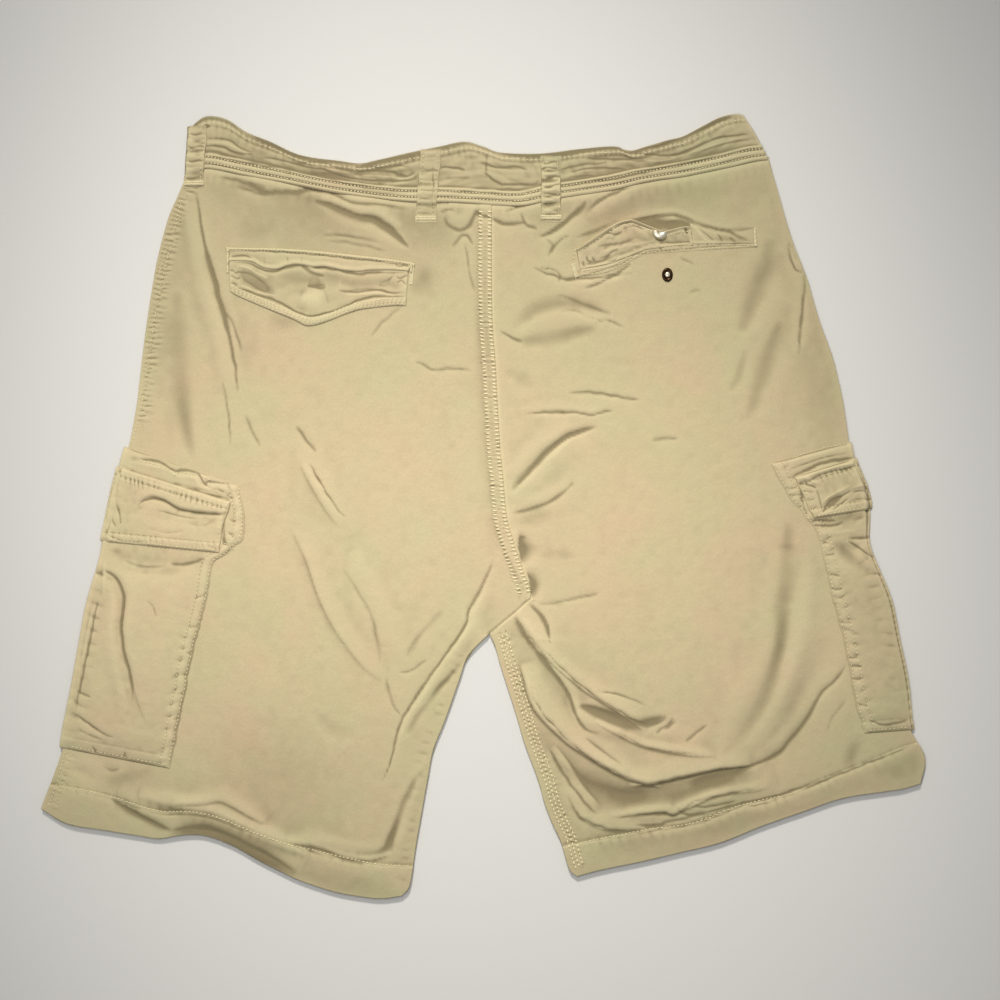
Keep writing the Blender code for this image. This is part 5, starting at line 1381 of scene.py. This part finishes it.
leftWelt = {
    "flat": (0.161, 0.0155),
    "area": 0.00235,
    "size": (160, 14),
    "edge": 0.7,
    "north": ((-218,219), (-156,217), (-88,210), (-59,206)),
    "south": ((-216,206), (-210,207), (-196,206), (-188,202), (-181,200), (-173,200), (-165,203),
        (-156,204), (-144,202), (-133,202), (-119,199), (-105,198), (-95,199), (-77,199), (-63,198)),
}
leftWelt["folds"] = {
    "under row": (-0.9, 1.3, (-217,215), (-180,215), (-121,210), (-60,203)),
    "left end": (-0.7, 1.4, (-215,216), (-215,206)),
    "left tick": (-0.8, 1.4, (-213,210), (-208,211), (-201,211), (-195,209)),
    "tick a": (-0.25, 1.3, (-185,211), (-184,204)),
    "tick b": (-0.3, 1.3, (-166,211), (-165,208), (-165,204)),
    "tick c": (-0.3, 1.3, (-154,210), (-153,204)),
    "end zigzag": (-0.8, 1.4, (-74,204), (-71,202), (-66,203), (-62,201)),
}
leftWelt["shades"] = {
    "lower half": (0.35, 3.4, (-188,205), (-156,208), (-122,204), (-66,201)),
}
leftFlap = {
    "flat": (0.156, 0.0445),
    "area": 0.0058,
    "size": (155, 36),
    "edge": 0.5,
    "north": ((-215,208), (-196,208), (-188,203), (-181,202), (-173,202), (-165,205), (-156,206),
        (-144,204), (-133,204), (-119,201), (-105,200), (-95,201), (-77,201), (-63,200)),
    "south": ((-214,181), (-203,175), (-162,158), (-145,152), (-113,163), (-102,166), (-76,169), (-65,169)),
}
leftFlap["folds"] = {
    "rim line": (-1.3, 1.4, 1.6, (-208,184), (-175,173), (-144,160), (-101,175), (-88,177), (-73,177),
        (-65,176)),
    "rim ledge": (0.5, 2.2, 4.5, (-210,181), (-190,175), (-164,164), (-144,157), (-125,164), (-101,171),
        (-79,174), (-66,173)),
    "under welt": (-1.2, 1.8, (-215,205), (-208,206), (-195,204), (-188,200), (-181,198), (-173,199),
        (-164,202), (-156,203), (-144,201), (-133,201), (-105,196), (-95,197), (-64,197)),
    "left ridge": (0.9, 2.2, (-209,202), (-199,200), (-182,192)),
    "left hollow": (-1.2, 5, (-207,196), (-200,193), (-192,188), (-177,177)),
    "left hollow line": (-0.6, 1.5, (-208,198), (-193,192), (-184,186)),
    "rim ridge": (0.7, 1.8, (-207,187), (-198,183), (-174,176)),
    "crease": (-1, 1.5, 1.6, (-154,203), (-144,197), (-134,194)),
    "crease ridge": (0.6, 2, (-150,203), (-144,200), (-137,198), (-132,199)),
    "dimple": (-0.7, 3.2, (-148,188), (-139,186), (-133,187)),
    "dimple line": (-0.5, 1.3, (-149,186), (-138,184), (-133,185)),
    "middle hollow": (-0.7, 7, (-170,195), (-156,192), (-137,191), (-117,192)),
    "right line": (-1.2, 1.7, (-122,182), (-113,181), (-89,182), (-77,180), (-66,180)),
    "right ridge": (0.6, 2.2, (-117,178), (-88,179), (-74,177)),
    "right hollow": (-0.8, 5, (-117,188), (-100,189), (-83,188), (-71,185)),
    "right knot": (-0.7, 2.2, (-88,186), (-82,189), (-74,196)),
    "snap bump": (1.1, 8, (-148,175), (-143,174), (-138,175)),
    "end zigzag one": (-0.8, 1.4, (-74,194), (-70,192), (-65,194), (-61,192)),
    "end zigzag two": (-0.8, 1.4, (-73,188), (-69,190), (-65,187), (-61,188)),
    "left zigzag one": (-0.9, 1.4, (-216,198), (-212,199), (-209,197), (-206,198)),
    "left zigzag two": (-0.9, 1.4, (-215,193), (-212,194), (-208,192), (-205,193)),
    "left zigzag three": (-0.8, 1.4, (-214,187), (-211,188), (-207,186)),
}
leftFlap["shades"] = {
    "body": (-0.3, 12, (-207,193), (-181,188), (-156,193), (-75,187)),
    "left hollow": (-0.35, 5, (-206,194), (-193,188), (-179,180)),
    "under welt": (-0.4, 1.6, (-214,205), (-195,204), (-181,198), (-156,202), (-119,198), (-77,197)),
    "snap": (0.8, 7, (-149,175), (-143,174), (-137,175)),
    "rim": (0.45, 3, (-208,180), (-144,156), (-101,171), (-77,174)),
    "dimple": (-0.4, 3, (-147,187), (-140,186), (-134,187)),
}
rightWelt = {
    "flat": (0.157, 0.0105),
    "area": 0.00095,
    "size": (153, 8),
    "edge": 1.2,
    "north": ((82,202), (100,204), (134,216), (149,220), (184,222), (230,223)),
    "south": ((82,194), (99,196), (113,200), (127,208), (134,211), (142,213), (233,219)),
}
rightWelt["folds"] = {
    "stitched line": (-1.1, 1.2, 1.3, (99,198), (110,200), (125,209), (134,213), (196,219), (232,220)),
    "tick a": (-0.7, 1.3, (150,220), (151,215)),
    "tick b": (-0.9, 1.3, (167,221), (168,219), (168,216)),
    "tick c": (-0.5, 1.3, (182,222), (183,220), (183,217)),
    "tick d": (-0.6, 1.3, (190,222), (190,218)),
    "tick e": (-0.5, 1.3, (201,223), (201,218)),
    "tick f": (-0.4, 1.3, (212,223), (213,221), (213,218)),
    "end": (-0.8, 1.5, (88,195), (110,202), (118,206)),
}
rightWelt["shades"] = {
    "blocks": (0.5, 2.2, (150,218), (225,221)),
    "stitched line": (-0.5, 1.2, (113,201), (134,213), (196,219), (232,220)),
    "rim": (0.35, 1.2, (116,202), (133,211), (184,216), (227,218)),
}
rightFlap = {
    "flat": (0.1, 0.03),
    "area": 0.0025,
    "size": (104, 22),
    "edge": 0.35,
    "north": ((79,217), (107,236), (117,241), (122,242), (128,242), (151,233), (156,233), (168,236),
        (175,236), (176,233)),
    "south": ((82,200), (108,205), (134,215), (142,217), (168,220), (178,220)),
}
rightFlap["folds"] = {
    "edge line": (-0.9, 1.2, 1.4, (81,214), (114,236), (122,239), (128,239), (146,232)),
    "left bar": (-1.2, 1.6, (81,209), (80,204), (82,199), (85,201), (85,207)),
    "left knot": (-0.9, 1.5, (88,211), (89,207), (94,206), (92,211)),
    "creases one": (-0.9, 1.4, (89,199), (101,201), (111,207), (114,211)),
    "creases two": (-0.6, 1.4, (87,204), (101,207), (108,212)),
    "creases three": (-0.6, 1.4, (99,209), (105,211), (110,215), (115,217)),
    "blob": (-1.2, 2.6, (105,202), (109,204), (113,208)),
    "bump": (0.8, 2.4, (106,233), (110,234), (114,232)),
    "bump line": (-0.8, 1.4, (103,229), (108,230), (113,229), (118,232)),
    "upper line": (-0.8, 1.4, (118,234), (124,236), (130,236), (137,233)),
    "middle soft": (-0.5, 3, (96,219), (118,222), (128,226)),
    "middle ridge": (0.5, 4, (99,214), (144,224)),
    "lower line": (-0.9, 1.3, (149,222), (176,223)),
    "right notch": (-1.4, 1.6, (171,235), (173,229)),
    "right line": (-1.2, 1.5, 1.6, (175,230), (184,223)),
    "socket dip": (-0.8, 3.4, (146,226), (150,224), (156,225)),
}
rightFlap["shades"] = {
    "body": (-0.2, 9, (99,217), (121,224), (142,226), (167,227)),
    "roll": (0.8, 1.2, (80,217), (102,232), (114,239), (122,242), (133,240), (146,234), (156,233),
        (168,236)),
    "blob": (-0.5, 2.6, (105,203), (110,205), (114,209)),
    "bump": (0.6, 2.4, (105,233), (110,234), (114,233)),
    "left bar": (-0.6, 1.6, (81,207), (82,202), (84,200)),
}
rightFacing = {
    "flat": (0.055, 0.0165),
    "area": 0.0005,
    "size": (56, 14),
    "edge": 0.5,
    "north": ((175,239), (195,232), (209,229), (217,225), (229,223)),
    "south": ((177,222), (184,221), (229,222)),
}
rightFacing["folds"] = {
    "light fold": (0.9, 2.6, 2, (178,238), (184,229), (188,225), (192,223)),
    "light fold line": (-0.8, 1.5, (182,237), (186,232), (195,224)),
    "second": (-0.6, 1.4, (198,230), (201,227), (203,223)),
    "third": (-0.5, 1.4, (208,227), (214,222)),
}
rightFacing["shades"] = {
    "dark": (-0.5, 5, (195,227), (223,223)),
    "light": (0.45, 2.6, (178,237), (188,225)),
}


# A flat piece on what is already there. Its thickness grows from its rim, and its relief is added to that.
def layOn(name, node, look, relief=None, wall=0.95):
    across = marks(look["size"][0], 0.56, (0, 0.12, 0.4, 0.9), 2) / look["size"][0]
    down = marks(look["size"][1], 0.56, (0, 0.12, 0.4, 0.9), 2) / look["size"][1]
    north, foot = along(look["north"], across), along(look["south"], across)
    v = down[:, None]
    places = coons(north, foot, (1 - v) * north[0] + v * foot[0], (1 - v) * north[-1] + v * foot[-1])
    runs = gridRuns(places)
    level = at(drape(), places)
    own = 0.12 * lumps(places[..., 0] / 9, places[..., 1] / 6, 20)
    if relief:
        own += relief(runs)
    addFolds(own, places, look["folds"])
    rim = np.minimum.reduce(list(runs.values()))
    thick = wall * (1 - np.exp(-rim / look["edge"]))
    height = level + 0.12 + np.maximum(thick + own * step(rim / 1.2), 0.0)
    # Its shade table paints shade and light into its colour.
    shade = np.zeros(height.shape)
    addFolds(shade, places, look["shades"])
    outer = np.dstack([places, height])
    inner = np.dstack([places, np.maximum(level + 0.05, height - 0.9)])
    obj = shell(name, outer, inner, 2, shade, 0.7, 0.2)
    lay(outer)
    finishPiece(obj, node)
    return outer, runs


# A welt: a beaded row of stitches along its free edge, and drawn-in ends.
def weltRelief(runs):
    x, down = runs["west"], runs["north"]
    ends = np.minimum(x, runs["east"])
    beads = 0.2 * np.cos(2 * np.pi * x / 3.0 + 2 * lumps(x / 15, x / 60, 17)) * bell((down - 1.9) / 1.3)
    return beads + 0.35 * bell((down - 1.7) / 1.1) + 0.35 * lumps(x / 8, down / 4, 18) * bell(ends / 14)


# A closed flap: its rim is beaded by two rows of stitching.
def flapRelief(runs):
    x, fromFoot = runs["west"], runs["south"]
    beads = np.cos(2 * np.pi * x / 3.4 + 2 * lumps(x / 17, fromFoot / 30, 19))
    beads *= bell((fromFoot - 3.6) / 2.4)
    soft = 0.35 * lumps(x / 22, runs["north"] / 8, 20) * step(fromFoot / 9)
    return 0.2 * beads + soft + 0.3 * step((7.6 - fromFoot) / 1.4) - 0.3 * bell((fromFoot - 1.8) / 0.7)


# A flap tucked into its own pocket: it leans up to its rolled edge and sinks to the welt.
def gapingRelief(runs):
    x, down = runs["west"], runs["north"]
    lean = runs["south"] / (runs["south"] + down + 0.01)
    crumple = 0.3 * lumps(x / 9, down / 5, 21) + 0.15 * lumps(x / 4, down / 3, 22)
    return 1.9 * lean**1.6 + 1.1 * bell(down - 1.0) + crumple


outer, runs = layOn("flapLeft", "flap_left", leftFlap, flapRelief)
for distance in (1.8, 6.2):
    sewOnGrid(outer, runs, "south", distance, trim=1.5)
outer, runs = layOn("weltLeft", "welt_left", leftWelt, weltRelief)
sewOnGrid(outer, runs, "north", 1.9)
barTack((-60.2, 187), (-58.6, 205), rows=(0, 1.6))
barTack((-216, 197), (-215.6, 216.5), rows=(0,))

outer, runs = layOn("weltRight", "welt_right", rightWelt, wall=0.8)
sewOnGrid(outer, runs, "south", 1.4)
sewOnGrid(outer, runs, "south", 4.6)
outer, runs = layOn("facingRight", "facing_right", rightFacing, wall=0.6)
outer, runs = layOn("flapRight", "flap_right", rightFlap, gapingRelief, wall=0.7)
sewOnGrid(outer, runs, "north", 4.6, trim=4)
barTack((80.2, 193.5), (76.8, 205), rows=(0, 1.6))
barTack((230.2, 235), (230.6, 219.5), rows=(0,))
print("back pockets")


# A turned part: its profile of (radius, height) points is carried round a circle that can be oval.
def lathe(name, node, profile, centre, scale, finish, cut=None):
    profile = np.array(profile, float)
    count, sides = len(profile), 48
    angle = np.linspace(0, 2 * np.pi, sides, endpoint=False)
    ring = np.column_stack([np.cos(angle) * scale[0], np.sin(angle) * scale[1]])
    body = profile[:, None, 0, None] * ring[None]
    level = np.broadcast_to(profile[:, 1:], body.shape[:2])
    ends = np.column_stack([np.zeros((2, 2)), profile[[0, -1], 1]])
    points = np.vstack([np.dstack([body, level]).reshape(-1, 3), ends]) + centre
    if cut is not None:
        points[:, 1] = np.minimum(points[:, 1], np.interp(points[:, 0], *cut))
    row, column = np.mgrid[0 : count - 1, 0:sides]
    a, b = (row * sides + column).ravel(), (row * sides + (column + 1) % sides).ravel()
    quads = np.stack([a, b, b + sides, a + sides], 1)
    k = np.arange(sides)
    last = sides * (count - 1)
    triangles = np.concatenate([
        np.stack([np.full(sides, sides * count), (k + 1) % sides, k], 1),
        np.stack([np.full(sides, sides * count + 1), last + k, last + (k + 1) % sides], 1),
    ])
    obj = addMesh(name, points, quads, triangles, finish)
    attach(obj, "root")
    if node:
        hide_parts(node)


# Snap parts. The socket is tucked under the rolled edge of the flap, which covers its upper part.
socket = {
    "centre": (150.1, 231.4),
    "profile": ((6.1,0), (6.2,0.5), (5.9,1.1), (5.2,1.6), (4.2,2), (3,2.2), (2.4,2.1), (2,1.7), (1,1.6)),
    "cut": ((141, 146, 150, 155, 160), (232.6, 232.0, 231.3, 231.1, 231.7)),
}
stud = {
    "centre": (156.1, 195.2),
    "profile": ((5.6,0), (5.7,0.5), (5.3,1.2), (4.6,1.6), (3.9,1.5), (3.2,0.9), (2.5,0.7)),
    "post": ((2.3,0.5), (2.2,1.7), (1.8,2.2), (1,2.4)),
    "scale": (0.82, 1.05),
}
level = float(at(ground, np.array(socket["centre"]) - (0, 3)))
lathe("snapSocket", "snap_socket", socket["profile"], (*socket["centre"], level - 0.5), (1.1, 1), nickel,
      socket["cut"])
level = float(at(ground, np.array(stud["centre"])))
place = (*stud["centre"], level - 0.2)
lathe("snapStud", "snap_stud", stud["profile"], place, stud["scale"], bronze)
lathe("snapPost", None, stud["post"], place, (1, 1), nickel)
print("snaps")

loops = {
    "left": {
        "node": "belt_loop_left",
        "start": (-44, 301.5),
        "end": (-48.5, 239.5),
        "slack": 0.3,
        "crumple": 0.35,
        "folds": {
            "top": (-0.8, 1.3, (-54,296), (-48,295), (-40,296), (-36,295)),
            "upper": (-0.7, 1.3, (-55,285), (-48,283), (-42,284), (-37,283)),
            "middle": (0.6, 2.4, (-55,275), (-47,273), (-37,274)),
            "seam one": (-0.7, 1.3, (-55,267), (-47,266), (-37,267)),
            "seam two": (-0.6, 1.3, (-56,260), (-48,259), (-38,259)),
            "bar": (-1.1, 1.3, (-57,246), (-38,246)),
            "side": (-0.5, 1.3, (-42,289), (-42,263), (-43,251)),
        },
    },
    "right": {
        "node": "belt_loop_right",
        "start": (57.5, 296),
        "end": (57.5, 240),
        "slack": 0.8,
        "crumple": 0.9,
        "folds": {
            "one": (-0.9, 1.3, (47,291), (54,289), (60,291), (67,289)),
            "two": (-1.1, 1.4, (47,283), (54,286), (62,285), (68,286)),
            "three": (-1.1, 1.4, (46,278), (53,275), (60,278), (67,278)),
            "four": (-1, 1.4, (48,271), (55,269), (62,271), (68,271)),
            "five": (-0.9, 1.3, (47,263), (54,264), (62,262), (68,263)),
            "six": (-0.8, 1.3, (48,256), (55,255), (63,256), (68,255)),
            "ridge": (0.8, 2.4, (48,266), (66,267)),
            "ridge two": (0.7, 2.2, (48,281), (56,280), (65,282)),
            "bar": (-1.1, 1.3, (48,247), (57,246), (68,247)),
        },
    },
    "side": {
        "node": "belt_loop_side",
        "start": (-242.5, 322),
        "end": (-245, 269),
        "slack": 0.9,
        "crumple": 0.5,
        "folds": {
            "one": (-0.9, 1.3, (-252,304), (-246,303), (-240,304), (-235,303)),
            "two": (-0.8, 1.3, (-252,292), (-246,291), (-239,292), (-235,291)),
            "three": (-0.9, 1.3, (-254,278), (-247,277), (-235,278)),
            "top": (-0.7, 1.3, (-249,315), (-243,314), (-237,316)),
            "bend": (0.9, 2.4, 2, (-252,273), (-245,272), (-236,273)),
            "foot": (-1.2, 1.3, (-252,269), (-235,269)),
        },
    },
}


# A belt loop: a strip that merges into the band at its top and ends under a bar of dense stitching.
def beltLoop(name, look):
    start, end = np.array(look["start"], float), np.array(look["end"], float)
    size = np.linalg.norm(end - start)
    number = len(name)  # shifts the noise
    down = marks(size, 0.6, (0, 0.12, 0.4, 0.9), 2) / size
    across = marks(17.4, 0.6, (0, 0.12, 0.4, 0.9), 2) - 8.7
    v, t = down[:, None], down * size
    sway = np.column_stack([0.9 * lumps(t / 15, 0 * t, number), 0 * t])
    middle = start + v * (end - start) + sway
    width = (1 + 0.06 * lumps(t / 8, 0 * t + 3, number + 1))[:, None]
    bow = 0.5 * lumps(across / 6, 0 * across, number)
    places = np.dstack([middle[:, :1] + across * width, middle[:, 1:] + bow])
    runs = gridRuns(places)
    level = at(drape(), places)
    free = np.sin(np.pi * v).clip(0)
    own = look["crumple"] * lumps(places[..., 0] / 14, places[..., 1] / 4.2, number + 2) * free**0.5
    own += 0.6 * look["crumple"] * lumps(places[..., 0] / 6, places[..., 1] / 2.8, number + 4) * free**0.5
    own += look["slack"] * free**2
    addFolds(own, places, look["folds"])
    sides = np.minimum(runs["west"], runs["east"])
    rim = np.minimum(sides, runs["south"] * 0.6)
    thick = (0.05 + 0.35 * (1 - np.exp(-rim / 2.6))) * step(runs["north"] / 4)
    own -= 0.15 * bell((sides - 2.6) / 0.8)
    height = level + 0.12 + np.maximum(thick + own * step(sides / 1.2) * step(runs["north"] / 3), 0)
    outer = np.dstack([places, height])
    inner = np.dstack([places, np.maximum(level + 0.05, height - 0.8)])
    shade = np.full(height.shape, -0.15) + 0.3 * step((6 - runs["south"]) / 2)
    obj = shell("beltLoop" + name.title(), outer, inner, 2, shade, 0.7, -0.05)
    lay(outer)
    finishPiece(obj, look["node"])
    for edge in ("west", "east"):
        sewOnGrid(outer, runs, edge, 2.6, trim=4, radius=0.28)
    barTack(end + (-8.6, 3.0), end + (8.6, 3.0), rows=(0, 1.8))


for name, look in loops.items():
    beltLoop(name, look)
print("belt loops")


addStitches()

for name, finish in {
    "front_left": twill,
    "front_right": twill,
    "fly_facing": twill,
    "waistband_front": twill,
    "waist_button": horn,
}.items():
    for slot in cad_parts[name].material_slots:
        slot.material = finish

bpy.ops.mesh.primitive_plane_add(size=4, location=(0, 0, -0.0004))
floor = bpy.context.active_object
floor.name = "floor"
floor.data.materials.append(plainMaterial("paleFloor", "#D9D7D2", 0.9, grain=0.01))

lighting = {
    "room": 0.38,
    "windowPlace": (-0.36, 2.5, 2.05),
    "windowTarget": (-0.005, -0.05, 0),
    "windowPower": 392.0,
    "windowSize": 0.22,
    "windowCone": 23.0,
    "ceilingPlace": (-0.08, 0.02, 0.75),
    "ceilingTarget": (-0.07, 0.02, 0),
    "ceilingPower": 2.0,
    "ceilingSize": 0.25,
}


# Turns an object's -z axis from a place to a target.
def aim(obj, place, target):
    run = np.array(target) - np.array(place)
    obj.location = place
    obj.rotation_euler = (math.atan2(math.hypot(run[0], run[1]), -run[2]), 0,
                          math.atan2(run[1], run[0]) - math.pi / 2)


# A light of one kind at a place, turned to its target.
def addLight(name, kind, place, target, power):
    light = bpy.data.lights.new(name, kind)
    light.energy = power
    obj = bpy.data.objects.new(name, light)
    bpy.context.scene.collection.objects.link(obj)
    aim(obj, place, target)
    return light


window = addLight("windowLight", "SPOT", lighting["windowPlace"], lighting["windowTarget"],
                  lighting["windowPower"])
window.shadow_soft_size = lighting["windowSize"]
window.spot_size = math.radians(lighting["windowCone"])
window.spot_blend = 1.0
window.color = colour("#FFFBF4")[:3]
ceiling = addLight("ceilingLight", "AREA", lighting["ceilingPlace"], lighting["ceilingTarget"],
                   lighting["ceilingPower"])
ceiling.size = lighting["ceilingSize"]

world = bpy.data.worlds.new("softRoom")
bpy.context.scene.world = world
world.use_nodes = True
world.node_tree.nodes["Background"].inputs[0].default_value = colour("#EEF0F2")
world.node_tree.nodes["Background"].inputs[1].default_value = lighting["room"]

camera = bpy.data.objects.new("camera", bpy.data.cameras.new("camera"))
camera.data.lens = 50
camera.data.sensor_width = 36
camera.data.clip_start = 0.01
camera.location = (0.01445, 0.004675, 1.1806)
bpy.context.scene.collection.objects.link(camera)
bpy.context.scene.camera = camera
bpy.context.scene.view_settings.view_transform = "Standard"
print("light and camera")
